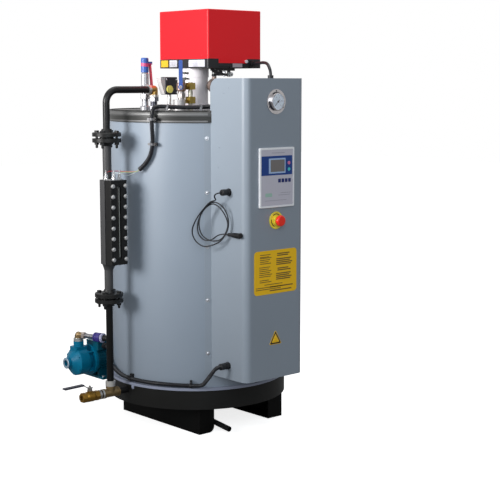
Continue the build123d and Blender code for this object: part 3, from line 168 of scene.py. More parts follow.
def finish(name, colour, roughness, metallic=0, fineness=300, depth=0.15, stretch=(1, 1, 1),
           patches=6, drift=0.08, wear=0, bare=(0.45, 0.45, 0.44), dust=0,
           dust_colour=(0.42, 0.4, 0.37), coat=0, specular=0.5, nodes="", zones=()):
    """A finish with grain, slow drift of tone, chipped edges and settled dust over one colour.
    The tone runs between the colour made darker and made lighter by the drift. Each zone is a
    direction, two limits along it in millimetres, and the colour, roughness and metal there. The
    CAD nodes named with it get it in every slot."""
    made, tree, shader = new_material(name)
    place = node(tree, "TexCoord").outputs["Object"]
    grain = group_node(tree, grain_group, Place=place, Stretch=stretch, Fineness=fineness,
                       Patches=patches)

    def toned(base):
        base = np.broadcast_to(base, 3)
        lighter = np.minimum(base * (1 + drift), 1)
        return mix_colour(tree, grain["Tone"], base * (1 - drift), lighter)

    seen, rough, metal = toned(colour), roughness, metallic
    for along, start, end, zone_colour, zone_roughness, zone_metal in zones:
        mask = group_node(tree, zone_group, Place=place, Along=along, From=start / 1000,
                          To=end / 1000)["Mask"]
        seen = mix_colour(tree, mask, seen, toned(zone_colour))
        rest = math_node(tree, "SUBTRACT", 1, mask)
        rough, metal = (math_node(tree, "MULTIPLY_ADD", mask, there,
                                  math_node(tree, "MULTIPLY", rest, before))
                        for before, there in ((rough, zone_roughness), (metal, zone_metal)))
    if wear:
        chipped = group_node(tree, wear_group, Place=place, Amount=wear)["Mask"]
        seen = mix_colour(tree, chipped, seen, bare)
    if dust:
        dusty = group_node(tree, dust_group, Place=place, Amount=dust)["Mask"]
        seen = mix_colour(tree, dusty, seen, dust_colour)
        rough = math_node(tree, "MULTIPLY_ADD", dusty, 0.4, rough)
    rough = math_node(tree, "MULTIPLY_ADD", math_node(tree, "SUBTRACT", grain["Tone"], 0.5), 0.16,
                      rough, clamp=True)
    relief = node(tree, "Bump", {"Height": grain["Height"], "Strength": depth, "Distance": 0.0004})
    feed(tree, shader, {
        "Base Color": seen, "Roughness": rough, "Metallic": metal, "Coat Weight": coat,
        "Specular IOR Level": specular, "Normal": relief.outputs[0]})
    for node_name in nodes.split():
        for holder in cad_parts[node_name].material_slots:
            holder.material = made
    return made


def route_curve(name, points):
    """A curve of one open NURBS spline with a route's control points, in metres."""
    data = bpy.data.curves.new(name, "CURVE")
    data.dimensions = "3D"
    data.resolution_u = 12
    spline = data.splines.new("NURBS")
    spline.points.add(len(points) - 1)
    spline.points.foreach_set("co", np.insert(np.array(points, float), 3, 1, axis=1).ravel())
    spline.order_u = 3
    spline.use_endpoint_u = True
    return added(name, data)


def round_cable(name, points, diameter, material):
    """A round cable: the route's spline with a circle carried along it."""
    made = route_curve(name, points)
    made.data.bevel_depth = diameter / 2
    made.data.bevel_resolution = 4
    made.data.use_fill_caps = True
    made.data.materials.append(material)
    return made


cable_black = finish("black cable jacket", (0.012, 0.013, 0.017), 0.42, fineness=900, depth=0.1,
                     dust=0.2, dust_colour=0.16, specular=0.35)

lead_centre = np.array((-0.2086, -0.3472, 0.848))
lead_across = np.array((0.341, -0.94, 0))
lead_out = np.array((-0.94, -0.341, 0))
lead_turns = (
    (31, 82, 14), (4, 77, 13.6), (-22, 52, 13.2), (-48, 22, 12.8), (-70, -12, 12.3),
    (-80, -42, 11.8), (-66, -76, 11.3), (-32, -97, 10.8), (8, -90, 10.4), (46, -72, 10),
    (72, -38, 9.6), (82, 0, 9.2), (70, 42, 8.8), (42, 70, 8.4),
    (10, 76, 8), (-16, 60, 7.6), (-38, 34, 7.2), (-50, 4, 6.8), (-50, -26, 6.3), (-40, -52, 5.9),
    (-14, -70, 5.5), (18, -74, 5.1), (48, -64, 4.7), (66, -38, 4.4), (76, -6, 4), (62, 28, 3.4),
    (36, 58, 2.8), (6, 70, 2.2), (-26, 50, 1.6), (-50, 18, 1), (-62, -18, 0.4), (-58, -52, -0.2),
    (-34, -74, -0.8), (-2, -72, -1.2), (24, -52, -1.4), (44, -45.5, -1.6))
lead_route = [
    (-0.209, -0.406, 0.960), (-0.222, -0.406, 0.960), (-0.229, -0.396, 0.955),
    (-0.226, -0.384, 0.944)]
lead_route += [tuple(lead_centre + (lead_across * a + lead_out * o) / 1000 + (0, 0, u / 1000))
               for a, u, o in lead_turns]
lead_route += [(-0.185, -0.408, 0.803), (-0.185, -0.418, 0.803)]
sensor_lead = round_cable("sensor_lead", lead_route, 0.005, cable_black)
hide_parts("sensor_coil", "sensor_tail_gland", "sensor_tail_plug")
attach(sensor_lead, "boiler")


# Burner cable: 12 mm black rubber cable from the gland on the burner's tray, over the gap in a low
# arch and down into the gland on the cabinet's roof.
burner_route = [
    (0.165, -0.1705, 1.439), (0.165, -0.187, 1.439), (0.159, -0.212, 1.441),
    (0.144, -0.238, 1.442), (0.126, -0.267, 1.4415), (0.108, -0.299, 1.440),
    (0.090, -0.331, 1.435), (0.076, -0.356, 1.421), (0.068, -0.372, 1.404),
    (0.068, -0.372, 1.392)]
burner_lead = round_cable("burner_lead", burner_route, 0.012, cable_black)
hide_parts("burner_cable")
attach(burner_lead, "boiler")


# Studio: a plain pale floor, a pale surround, a soft key light high on the left, and weak ones from
# the front and from above.
floor_mesh = bpy.data.meshes.new("floor")
half_floor = 14
floor_corners = half_floor * np.array(((-1, -1, 0), (1, -1, 0), (1, 1, 0), (-1, 1, 0)))
floor_mesh.from_pydata(floor_corners, [], [(0, 1, 2, 3)])
floor = added("floor", floor_mesh)
floor_finish, floor_tree, floor_shader = new_material("pale floor")
floor_seen = node(floor_tree, "LightPath").outputs["Is Camera Ray"]
feed(floor_tree, floor_shader, {
    "Base Color": mix_colour(floor_tree, floor_seen, 0.3, 0.9), "Roughness": 0.9,
    "Emission Color": (1, 1, 1, 1),
    "Emission Strength": math_node(floor_tree, "MULTIPLY", floor_seen, 0.8)})
floor_mesh.materials.append(floor_finish)

world = bpy.data.worlds.new("surround")
world.use_nodes = True
sky = world.node_tree
sky_path = node(sky, "LightPath").outputs
sky_strength = math_node(sky, "MULTIPLY_ADD", sky_path["Is Camera Ray"], 0.7, 0.3)
sky_strength = math_node(sky, "MULTIPLY_ADD", sky_path["Is Glossy Ray"], 0.35, sky_strength)
feed(sky, sky.nodes["Background"], {"Color": (1, 1, 1, 1), "Strength": sky_strength})
scene.world = world
scene.view_settings.view_transform = "Standard"

for light_name, kind, spot, aim, size, power, tint in (
        ("key", "SPOT", (-3.9, 0.3, 2.15), (-0.1, 0, 1.7), 0.95, 980, (1, 0.99, 0.98)),
        ("fill", "AREA", (-2.4, -3.9, 2.4), (0, 0, 1.25), 2.4, 63, (0.87, 0.94, 1)),
        ("ceiling", "AREA", (0.3, 0.2, 4.2), (0, 0, 0.8), 2.2, 30, (1, 1, 1))):
    light_data = bpy.data.lights.new(light_name, kind)
    light_data.energy = power
    light_data.color = tint
    if kind == "SPOT":
        light_data.shadow_soft_size = size
        light_data.spot_size = radians(52)
        light_data.spot_blend = 1
    else:
        light_data.size = size
    light = added(light_name, light_data)
    light.location = spot
    light.rotation_euler = (Vector(aim) - Vector(spot)).to_track_quat("-Z", "Y").to_euler()


# Base: channel rails, skirt ring and shelf bent and welded from plate and painted satin black, with
# a grey top plate that the jacket stands on and a steel earth tag bent over its rim. The skirt's
# black is lighter than the rails' as a painted highlight.
finish("satin black paint", 0.002, 0.5, fineness=420, depth=0.2, wear=0.4, bare=0.06, dust=0.05,
       dust_colour=0.08, specular=0.12, nodes="base_rail_left base_rail_right pump_shelf")
# Painted highlight: the skirt gets the rails' satin black made lighter, for the sheen across its
# round face.
finish("skirt black paint, lightened as painted highlight", (0.009, 0.009, 0.0085), 0.38, fineness=420, depth=0.2, wear=0.4,
       bare=0.08, dust=0.05, dust_colour=0.1, specular=0.25, nodes="base_skirt")
plate_grey = finish("grey plate paint", (0.29, 0.32, 0.42), 0.45, wear=0.3, dust=0.1,
                    nodes="base_plate")

right, back, up = (1, 0, 0), (0, 1, 0), (0, 0, 1)
front_frame = (right, up, (0, -1, 0))
left_frame = ((0, -1, 0), up, (-1, 0, 0))
right_frame = (back, up, right)
up_frame = (right, back, up)


def unit(vector):
    """The vector at length one."""
    return np.asarray(vector, float) / np.linalg.norm(vector)


def facing_out(angle):
    """Across, up and outward directions on the jacket at an angle in degrees, seen from outside."""
    turn = radians(angle)
    out = (cos(turn), sin(turn), 0)
    return ((-out[1], out[0], 0), up, out)


def round_jacket(radius, angle, height):
    """A point at a radius, an angle in degrees and a height, from the boiler's axis."""
    turn = radians(angle)
    return (radius * cos(turn), radius * sin(turn), height)


def skin(grid, wrap=True, caps=True):
    """A surface through a grid of points: every point joins its neighbours, the last column joins
    the first when it wraps, and a point at its middle closes each end row."""
    rows, columns = grid.shape[:2]
    index = np.arange(rows * columns).reshape(rows, columns)
    near, far = (index, np.roll(index, -1, axis=1)) if wrap else (index[:, :-1], index[:, 1:])
    quads = np.stack((near[:-1], far[:-1], far[1:], near[1:]), axis=-1).reshape(-1, 4)
    points, fans = grid.reshape(-1, 3), np.zeros((0, 3), int)
    if caps:
        points = np.vstack((points, grid[[0, -1]].mean(axis=1)))
        ends = index[[0, -1]]
        tips = np.broadcast_to([[rows * columns], [rows * columns + 1]], ends.shape)
        fans = np.stack((ends, np.roll(ends, -1, axis=1), tips), axis=-1).reshape(-1, 3)
    return points, quads, fans


def placed(points, origin, axes):
    """Points given across, up and out of a place, put where that place and its axes are."""
    return np.asarray(points, float) @ np.array(axes, float) + np.array(origin, float)


def circle(turn):
    """Points of a circle of radius one at angles in radians: the cosine and the sine."""
    return np.stack((np.cos(turn), np.sin(turn)), axis=-1)


def turned(profile, origin, axes, count=32):
    """A profile of radius and height turned about the outward axis: x is the radius times the
    cosine, y the radius times the sine. Six steps give a hexagon."""
    radius, height = np.array(profile, float).T
    ring = circle(np.arange(count) * 2 * pi / count)
    upright = np.broadcast_to(height[:, None, None], (len(height), count, 1))
    grid = np.concatenate((radius[:, None, None] * ring, upright), axis=2)
    return skin(placed(grid, origin, axes), caps=False)


def band(inner, outer, width, origin, axes, count=32):
    """A flat ring: a rectangle from the inner to the outer radius turned about the axis."""
    half = width / 2
    return turned(((inner, -half), (outer, -half), (outer, half), (inner, half), (inner, -half)),
                  origin, axes, count)


def rounded_outline(width, height, radius, steps=6):
    """A rectangle with round corners: a quarter circle about each corner's centre."""
    quarter = np.linspace(0, pi / 2, steps)
    turn = (np.arange(4)[:, None] * pi / 2 + quarter).ravel()
    corner = np.repeat(((1, 1), (-1, 1), (-1, -1), (1, -1)), steps, axis=0)
    return corner * (width / 2 - radius, height / 2 - radius) + radius * circle(turn)


def stacked(outlines, levels, origin, axes):
    """A plate or block: outlines joined level by level, the first and last filled."""
    grid = [np.insert(outline, 2, level, axis=1) for outline, level in zip(outlines, levels)]
    return skin(placed(grid, origin, axes))


def plate(origin, axes, width, height, radius, thickness, edge=0.4, sunk=0.4):
    """A flat plate with round corners and an eased front edge, let a little into its carrier."""
    eased = rounded_outline(width - 2 * edge, height - 2 * edge, max(radius - edge, 0.05))
    full = rounded_outline(width, height, radius)
    return stacked((full, full, eased), (-sunk, thickness - edge, thickness), origin, axes)


def screw_head(origin, axes, radius, height, count=16):
    """A low domed head: its edge upright for a third, then rounding over to the middle."""
    return turned(((0, -0.5), (radius, -0.5), (radius, height * 0.35),
                   (radius * 0.85, height * 0.75), (radius * 0.5, height), (0, height)),
                  origin, axes, count)


def hexagon(origin, axes, radius, height):
    """A hexagon nut or bolt head with a chamfered top."""
    ease = radius * 0.12
    return turned(((0, -0.5), (radius, -0.5), (radius, height - ease), (radius - ease, height),
                   (0, height)), origin, axes, 6)


def piece(name, parts, material, body="boiler"):
    """Joins surfaces, given in millimetres, into one object: doubles merged, normals turned
    outward, and edges over 35 degrees kept sharp."""
    starts = list(accumulate((len(part[0]) for part in parts), initial=0))
    points = np.vstack([part[0] for part in parts]) / 1000
    quads, fans = (np.vstack([part[kind] + start for part, start in zip(parts, starts)]).tolist()
                   for kind in (1, 2))
    mesh = bpy.data.meshes.new(name)
    mesh.from_pydata(points, [], quads + fans)
    work = bmesh.new()
    work.from_mesh(mesh)
    bmesh.ops.remove_doubles(work, verts=work.verts, dist=1e-6)
    bmesh.ops.recalc_face_normals(work, faces=work.faces)
    work.to_mesh(mesh)
    work.free()
    mesh.shade_smooth()
    mesh.set_sharp_from_angle(angle=radians(35))
    mesh.materials.append(material)
    made = added(name, mesh)
    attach(made, body)
    return made


zinc = finish("zinc plated steel", (0.6, 0.62, 0.66), 0.32, metallic=0.9, dust=0.1)
tag_angle = 186.5
tag_across, _, tag_out = tag_axes = facing_out(tag_angle)
piece("earth_tag",
      [plate(round_jacket(360, tag_angle, 184), tag_axes, 13, 24, 3, 1.6),
       plate(round_jacket(354, tag_angle, 196), (tag_across, tag_out, up), 13, 15, 3, 1.6),
       hexagon(round_jacket(361.5, tag_angle, 180), tag_axes, 4.5, 3)],
      plate_grey)


# Jacket: rolled sheet steel round the insulated shell, powder coated light blue-grey, lapped at the
# back under a riveted strip, with a rolled silver trim at its top and a stainless flue collar.
jacket_coat = finish("blue-grey powder coat", (0.27, 0.32, 0.385), 0.38, fineness=650, depth=0.12,
                     patches=2.5, drift=0.05, wear=0.2, dust=0.12, nodes="jacket")
finish("rolled stainless", (0.55, 0.55, 0.54), 0.3, metallic=1, dust=0.2, stretch=(1, 12, 1),
       nodes="flue_outlet")


def around(section, radius, start, end, steps, origin=(0, 0, 0), axes=up_frame):
    """A section of radial offset and height carried round an axis from one angle to another: x is
    the radius times the cosine, y the radius times the sine."""
    turn = np.radians(np.linspace(start, end, steps))[:, None]
    offset, height = np.array(section, float).T
    reach = radius + offset
    grid = np.stack(np.broadcast_arrays(reach * np.cos(turn), reach * np.sin(turn), height), -1)
    return skin(placed(grid, origin, axes))


jacket_radius, seam_angle = 344, 62
piece("jacket_seam",
      [around(((-0.5, 200), (1.4, 200), (1.4, 1208), (-0.5, 1208)), jacket_radius,
              seam_angle - 2.4, seam_angle + 2.4, 9)]
      + [screw_head(round_jacket(jacket_radius + 1.2, seam_angle + side, height),
                    facing_out(seam_angle + side), 3.2, 1.6, 10)
         for side in (-1.6, 1.6) for height in range(230, 1200, 80)],
      jacket_coat)


# Lid: steel ring and cover plate clamped on the jacket, painted dark, with a lighter metal band on
# the plate's rim bevel as a painted highlight, a silver trim under the ring and a thin black ring
# along the seam on top.
finish("dark lid paint", (0.022, 0.022, 0.021), 0.4, fineness=400, depth=0.2, wear=0.4,
       bare=0.2, dust=0.15, specular=0.4, nodes="lid_ring")
finish("grey lid paint", 0.06, 0.4, depth=0.25, wear=0.4, bare=0.2, dust=0.25,
       dust_colour=(0.22, 0.22, 0.21), nodes="lid_cover")
trim_and_bevel_highlight_steel = finish("rolled trim and painted bevel highlight", 0.15, 0.46, metallic=0.6, stretch=(1, 1, 14))
lid_run = dict(radius=349, start=-66.5, end=238.5, steps=160)
piece("jacket_trim",
      [around(((-1, 1214.5), (0.9, 1215), (1.6, 1217.5), (1.6, 1219.5), (0.9, 1222), (-1, 1222.5)),
              **lid_run)], trim_and_bevel_highlight_steel)
# Painted highlight: a lighter metal band over the cover's rim bevel makes the bevel read bright
# where it faces up towards the light.
piece("lid_bevel_highlight",
      [around(((-1, 1241), (1.8, 1241), (2.2, 1243), (1.2, 1248), (-0.6, 1252), (-2, 1252)),
              **lid_run)], trim_and_bevel_highlight_steel)
# A thin black ring along the seam on top darkens a line on the cover's top, just inside its bevel.
piece("lid_seam_ring",
      [around(2.4 * circle(np.arange(8) * pi / 4) + (-5.5, 1257), **lid_run)],
      finish("black rubber", 0.012, 0.6, fineness=700, dust=0.25, dust_colour=0.15, specular=0.3))


# Cabinet: folded sheet steel in the jacket's colour, screwed to the jacket through a strip down
# each side, with a few pop rivets where brackets are fixed inside.
cabinet_coat = finish("cabinet powder coat", (0.27, 0.315, 0.37), 0.4, fineness=650, depth=0.12,
                      patches=2.5, drift=0.05, wear=0.2, dust=0.15,
                      nodes="cabinet_wrap cabinet_roof")
cabinet_left, cabinet_right, item_x, cabinet_front = -171, 124, -23.5, -502
strip_parts = []
for angle in (237.9, 293.2):
    for height in (1156, 951, 744, 538.5, 331):
        seat = (round_jacket(jacket_radius + 2, angle, height), facing_out(angle))
        strip_parts += [screw_head(*seat, 5, 3),
                        turned(((0, -1), (8, -1), (8, 0.8), (0, 0.8)), *seat, 24)]
piece("strip_screws", strip_parts, zinc)
piece("side_rivets",
      [screw_head((cabinet_left, y, z), left_frame, 3.2, 1.6, 12)
       for y, z in ((-403, 1346), (-377, 1327), (-348.5, 1125), (-342, 1050))]
      + [screw_head((cabinet_right, y, z), right_frame, 3.2, 1.6, 12)
         for y, z in ((-403, 1346), (-377, 1327), (-345, 1125), (-345, 700), (-345, 300))],
      cabinet_coat)


# Pressure gauge: chrome case on a round flange with three screws, white dial with black figures,
# slim black pointer on a hub, a flat glass, and painted shadow in black arcs round the case.
finish("polished chrome", (0.62, 0.6, 0.61), 0.22, metallic=1, drift=0.2, patches=60,
       nodes="pressure_gauge")
dial_radius, dial_level = 29.3, 11.3
gauge_spot = (item_x, cabinet_front, 1294)
black_print_and_shadow = finish("black print and painted shadow", (0.02, 0.02, 0.03), 0.5)
piece("gauge_dial",
      [turned(((0, 10.5), (dial_radius, 10.5), (dial_radius, dial_level), (0, dial_level)),
              gauge_spot, front_frame, 64)],
      finish("dial enamel", (0.78, 0.87, 1), 0.35, drift=0.03))


def ray_axes(angle):
    """Across, up and out for a mark that points outward along an angle on the cabinet's front."""
    turn = radians(angle)
    along = (cos(turn), 0, sin(turn))
    return (along, (-along[2], 0, along[0]), (0, -1, 0))


def ray_spot(angle, radius, level, centre):
    """The place at a radius and an angle round a centre on the front, at a level out of it."""
    return placed((radius, 0, level), centre, ray_axes(angle))


def taken(holder):
    """A curve's points and triangles as Blender works them out. The curve itself is removed."""
    mesh = bpy.data.meshes.new_from_object(holder)
    mesh.calc_loop_triangles()
    points = np.zeros(len(mesh.vertices) * 3)
    mesh.vertices.foreach_get("co", points)
    corners = np.zeros(len(mesh.loop_triangles) * 3, int)
    mesh.loop_triangles.foreach_get("vertices", corners)
    bpy.data.objects.remove(holder)
    bpy.data.meshes.remove(mesh)
    return points.reshape(-1, 3), corners.reshape(-1, 3)


def written(word, size, origin, axes, level):
    """Raised figures: Blender's own letter outlines, filled and given 0.2 mm of thickness."""
    data = bpy.data.curves.new("figures", "FONT")
    data.body = word
    data.size = size
    data.align_x, data.align_y = "CENTER", "CENTER"
    data.extrude = 0.1
    data.resolution_u = 3
    points, corners = taken(bpy.data.objects.new("figures", data))
    return placed(points + (0, 0, level), origin, axes), np.zeros((0, 4), int), corners


dial_marks = []
for step in range(26):
    angle = 225 - step * 270 / 25
    length, width = (4.2, 0.9) if step % 5 == 0 else (2.4, 0.45)
    spot = ray_spot(angle, 26.5 - length / 2, dial_level, gauge_spot)
    dial_marks.append(plate(spot, ray_axes(angle), length, width, 0.1, 0.25, 0.05))
for step, figure in enumerate("0 2 4 6 8 10".split()):
    spot = ray_spot(225 - step * 54, 18.2, 0, gauge_spot)
    dial_marks.append(written(figure, 5.2, spot, front_frame, dial_level + 0.15))
piece("gauge_scale", dial_marks, black_print_and_shadow)
pointer_outline = ((21, 0.25), (6, 0.9), (-8, 1.5), (-9, 0), (-8, -1.5), (6, -0.9), (21, -0.25))
piece("gauge_pointer",
      [stacked((pointer_outline, pointer_outline), (dial_level + 0.6, dial_level + 1.2), gauge_spot,
               ray_axes(225)),
       turned(((0, dial_level), (3, dial_level), (3, dial_level + 1.6), (2, dial_level + 2.2),
               (0, dial_level + 2.2)), gauge_spot, front_frame, 24)], black_print_and_shadow)
# Painted shadow: flat black arcs just off the case round each screw hole stand for the shade in the
# gaps between case and flange; a dark screw head sits in each hole.
flange_shadows_and_screws = []
for angle in (90, 210, 330):
    flange_shadows_and_screws += [around(((33.2, 2.6), (36.4, 2.6), (36.4, 3.3), (33.2, 3.3)), 0, angle - 34,
                            angle + 34, 18, gauge_spot, front_frame),
                     screw_head(ray_spot(angle, 40, 2.6, gauge_spot), front_frame, 3, 1.4, 14)]
piece("gauge_shadow_gaps", flange_shadows_and_screws, black_print_and_shadow)
glass, glass_tree, glass_shader = new_material("gauge glass")
glass_smear = node(glass_tree, "TexNoise", {"Scale": 60, "Detail": 3}).outputs[0]
feed(glass_tree, glass_shader, {
    "Transmission Weight": 1, "IOR": 1.3, "Base Color": (1, 1, 1, 1),
    "Roughness": math_node(glass_tree, "MULTIPLY", glass_smear, 0.06)})
piece("gauge_glass",
      [turned(((0, 13.6), (29.4, 13.6), (29.4, 14.4), (28.8, 14.9), (0, 15.1)), gauge_spot,
              front_frame, 64)], glass)


# Control panel: white moulded frame with a printed face let into it, a dark blue band with the
# screen and two round keys, four square keys under it and faint printed rules.
panel_level = 7.5
finish("panel frame plastic", (0.92, 0.94, 1), 0.35, fineness=800, nodes="control_panel")


def printed(name, colour, roughness, marks):
    """Thin printed or moulded areas on the panel: centre, size, corner and thickness of each."""
    piece(name, [plate((x, cabinet_front - panel_level, z), front_frame, width, height, radius,
                       thickness, min(0.25, thickness / 2))
                 for x, z, width, height, radius, thickness in marks],
          finish(name.replace("_", " "), colour, roughness, drift=0.03, fineness=900))


printed("panel_face", (0.57, 0.56, 0.64), 0.45,
        ((item_x, 1013, 160.6, 208.6, 3, 0.5),))
printed("panel_band", (0.003, 0.045, 0.24), 0.5, ((-25, 1058, 156, 72, 1.5, 0.8),))
printed("panel_screen_rim", (0.4, 0.55, 0.8), 0.4, ((-24, 1057, 84, 56, 2, 1.4),))
printed("panel_screen", (0.19, 0.175, 0.17), 0.25, ((-22, 1057, 71, 45, 1, 1.7),))
printed("panel_key_red", (0.75, 0.2, 0.38), 0.35, ((36, 1066, 13, 13, 6.4, 2.2),))
printed("panel_key_green", (0.08, 0.6, 0.62), 0.35, ((36, 1042, 13, 13, 6.4, 2.2),))
printed("panel_keys", (0.006, 0.02, 0.14), 0.4,
        [(x, 1001, 13, 14, 2, 1.6) for x in (-12, 5, 22, 39)])
printed("panel_rules", (0.27, 0.26, 0.33), 0.5,
        [(-18, 1105, 66, 1.6, 0.4, 0.7), (20, 955, 52, 1.4, 0.4, 0.7), (12, 947, 60, 1.4, 0.4, 0.7),
         (-30, 928, 110, 1.4, 0.4, 0.7)])
printed("panel_cell", (0.36, 0.56, 0.48), 0.5, ((-66, 949, 34, 14, 3, 0.7),))


# Emergency stop: yellow moulded collar with a raised boss and turning arcs, and a glossy red
# mushroom button that goes in under the hand.
stop_spot = (item_x, cabinet_front, 852)
yellow_plastic = finish("yellow plastic", (1, 0.83, 0.07), 0.35, drift=0.05,
                        nodes="emergency_stop_collar")
finish("glossy red plastic", (0.98, 0.03, 0.012), 0.3, drift=0.02, nodes="emergency_stop_button")
piece("stop_arcs",
      [around(((22, 2.6), (26, 2.6), (26, 3.3), (22, 3.3)), 0, angle - 40, angle + 40, 20,
              stop_spot, front_frame) for angle in (90, 210, 330)],
      finish("dark arcs", (0.12, 0.09, 0.01), 0.5))
piece("stop_collar_lip",
      [turned(((33, 1), (33, 3.4), (31.5, 4.4), (29.5, 4.2), (29, 2.6), (29, 1), (33, 1)),
              stop_spot, front_frame, 64)], yellow_plastic)


# Instruction plate and marker: thin yellow aluminium plates on the front. The large one carries
# plain rules in two columns, and the small triangle has only its black border.
plate_yellow = finish("yellow plate enamel", (1, 0.58, 0.008), 0.34, drift=0.04, patches=14,
                      fineness=500)
plate_z = 657
piece("instruction_plate", [plate((item_x, cabinet_front, plate_z), front_frame, 217, 166, 14, 1)],
      plate_yellow)
rule_rows = (
    (-50, (68, 60, 56, 49, 42, 35), 60), (-50, (21, 14, 7, 0, -7, -14), 66),
    (-50, (-28, -35), 62), (44, (68, 61), 74), (44, (48, 41, 34, 27), 82),
    (44, (12, 5), 70), (44, (-8, -15, -22, -29), 84), (-2, (-46,), 110), (-30, (-56, -63), 140),
    (30, (-56, -70), 120))
rules = []
for middle, heights, length in rule_rows:
    for height in heights:
        own = length - (len(rules) + 1) * 7 % 19
        spot = (item_x + middle + (own - length) / 2, cabinet_front - 1, plate_z + height)
        rules.append(plate(spot, front_frame, own, 4.4 if middle > 0 else 2.8, 0.3, 0.25, 0.08))
piece("instruction_rules", rules,
      finish("brown print", (0.16, 0.1, 0.02), 0.55, drift=0.3, patches=90))


def triangle(half_width, height, radius, steps=5):
    """A triangle on its base with round corners: an arc of a third turn about each corner."""
    across, low, high = half_width - radius * 1.7, -height / 3 + radius, height * 2 / 3 - radius * 2
    corners = np.array(((across, low), (0, high), (-across, low)))
    turn = np.radians(np.array((-90, 30, 150))[:, None] + np.linspace(0, 120, steps))
    return (corners[:, None] + radius * circle(turn)).reshape(-1, 2)


marker_black = finish("black enamel", (0.014, 0.014, 0.01), 0.45, dust=0.05)
for name, width, height, radius, level, material, slot in (
        ("marker_rim", 32, 55, 3.5, 0.9, plate_yellow, "yellow"),
        ("marker_border", 29, 50, 3, 1.15, marker_black, "tray_black"),
        ("marker_field", 20, 34.5, 2, 1.4, plate_yellow, "yellow")):
    outline = triangle(width, height, radius)
    levels = (-0.4, level - 0.1, level)
    piece(name, [stacked((outline, outline, outline * 0.99), levels, (item_x, cabinet_front, 396),
                         front_frame)], material)


# Cable glands and sensor plug: moulded black nylon. The glands are screwed through the sheet, and
# the plug has clamp ribs on its boot.
gland_black = finish("black nylon", (0.011, 0.011, 0.013), 0.45, fineness=800, depth=0.2, dust=0.2,
                     dust_colour=0.16, specular=0.4,
                     nodes="cable_gland_upper cable_gland_lower cable_gland_burner"
                           " cable_gland_roof sensor_plug")
piece("plug_ribs",
      [band(8.5, 9.8, 1.6, (-185, y, 803), (right, up, back), 24)
       for y in range(-478, -448, 5)], gland_black)


# Conduits: black corrugated nylon hose, one from the lower gland round the base to the pump's
# terminal box, one from the cabinet's back over the lid and down to the level probes.
def route_line(points, step):
    """Points at even steps along a route's own NURBS spline, with the direction at each."""
    line = taken(route_curve("route", np.array(points, float) / 1000))[0] * 1000
    gone = np.insert(np.cumsum(np.linalg.norm(np.diff(line, axis=0), axis=1)), 0, 0)
    at = np.linspace(0, gone[-1], int(gone[-1] / step) + 1)
    line = np.stack([np.interp(at, gone, line[:, axis]) for axis in range(3)], axis=-1)
    way = np.gradient(line, axis=0)
    return line, way / np.linalg.norm(way, axis=1, keepdims=True)


def carried(side, way):
    """The side direction moved on along a path: turned just enough to stay square to it."""
    return unit(side - way * side.dot(way))


def tube_along(line, way, radii, count=14):
    """A circle of changing radius carried along a path, its plane square to the path."""
    side = np.array(list(accumulate(way, carried, initial=np.array((0.31, 0.2, 0.93))))[1:])
    top = np.cross(way, side)
    turn = np.arange(count)[:, None] * 2 * pi / count
    ring = np.cos(turn) * side[:, None] + np.sin(turn) * top[:, None]
    return skin(line[:, None] + np.asarray(radii)[:, None, None] * ring)


def hose(name, points, radius, node_name, pitch=3.6):
    """A corrugated hose: crest, slope, groove and slope repeat along the route's spline."""
    line, way = route_line(points, pitch / 4)
    wave = np.resize((1, 1, 0.84, 0.84), len(line))
    made = piece(name, [tube_along(line, way, radius * wave)], hose_black)
    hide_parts(node_name)
    return line, way


hose_black = finish("corrugated nylon", (0.012, 0.0125, 0.016), 0.36, fineness=700, dust=0.2,
                    dust_colour=(0.16, 0.16, 0.17))
base_route = [(-213, -399, 299), (-231, -399, 299), (-242, -396, 286), (-246, -377, 262),
              (-240, -345, 236), (-228, -315, 215)]
base_route += [round_jacket(*place) for place in (
    (359, -131, 207), (358, -141, 208), (358, -152, 209), (358, -163, 209), (358, -174, 210),
    (358, 175, 213), (359, 165, 224), (363, 154, 240), (364, 143, 251), (362, 132, 252))]
base_route += [(-194, 357, 252), (-194, 391, 252)]
base_line, base_way = hose("base_hose", base_route, 8, "base_conduit")
lid_route = [(-118, -298, 1276), (-118, -281, 1276), (-128, -268, 1275)]
lid_route += [round_jacket(*place) for place in (
    (303, 239.5, 1273), (319, 232.1, 1272), (326, 223, 1272), (328, 214.6, 1273),
    (339, 208.2, 1276), (361, 204.6, 1272), (366, 204.2, 1243), (365, 204.1, 1200),
    (358, 204.1, 1150), (357, 203.1, 1104), (358, 199.9, 1064), (362, 194.7, 1036))]
lid_line, lid_way = hose("lid_hose", lid_route, 8.5, "lid_conduit")
piece("hose_ends",
      [tube_along(lid_line[-12:], lid_way[-12:], np.full(12, 9.3)),
       turned(((0, 0), (13, 0), (13, 5), (10.5, 7), (10.5, 16), (0, 16)), base_route[-1],
              front_frame, 24),
       hexagon(base_route[-1], front_frame, 14, 6)], gland_black)


def hose_clip(line, way, share, radius, width):
    """A strap round a hose at a share of its length: a flat ring square to the hose."""
    index = int(share * (len(line) - 1))
    spot, along = line[index], way[index]
    across = unit(np.cross(along, (0.02, 0.01, 1)))
    ring = band(radius - 0.6, radius + 1.6, width, spot,
                (across, np.cross(along, across), along), 20)
    out = unit((spot[0], spot[1], 0))
    return spot, (np.cross(up, out), np.array(up), out), ring


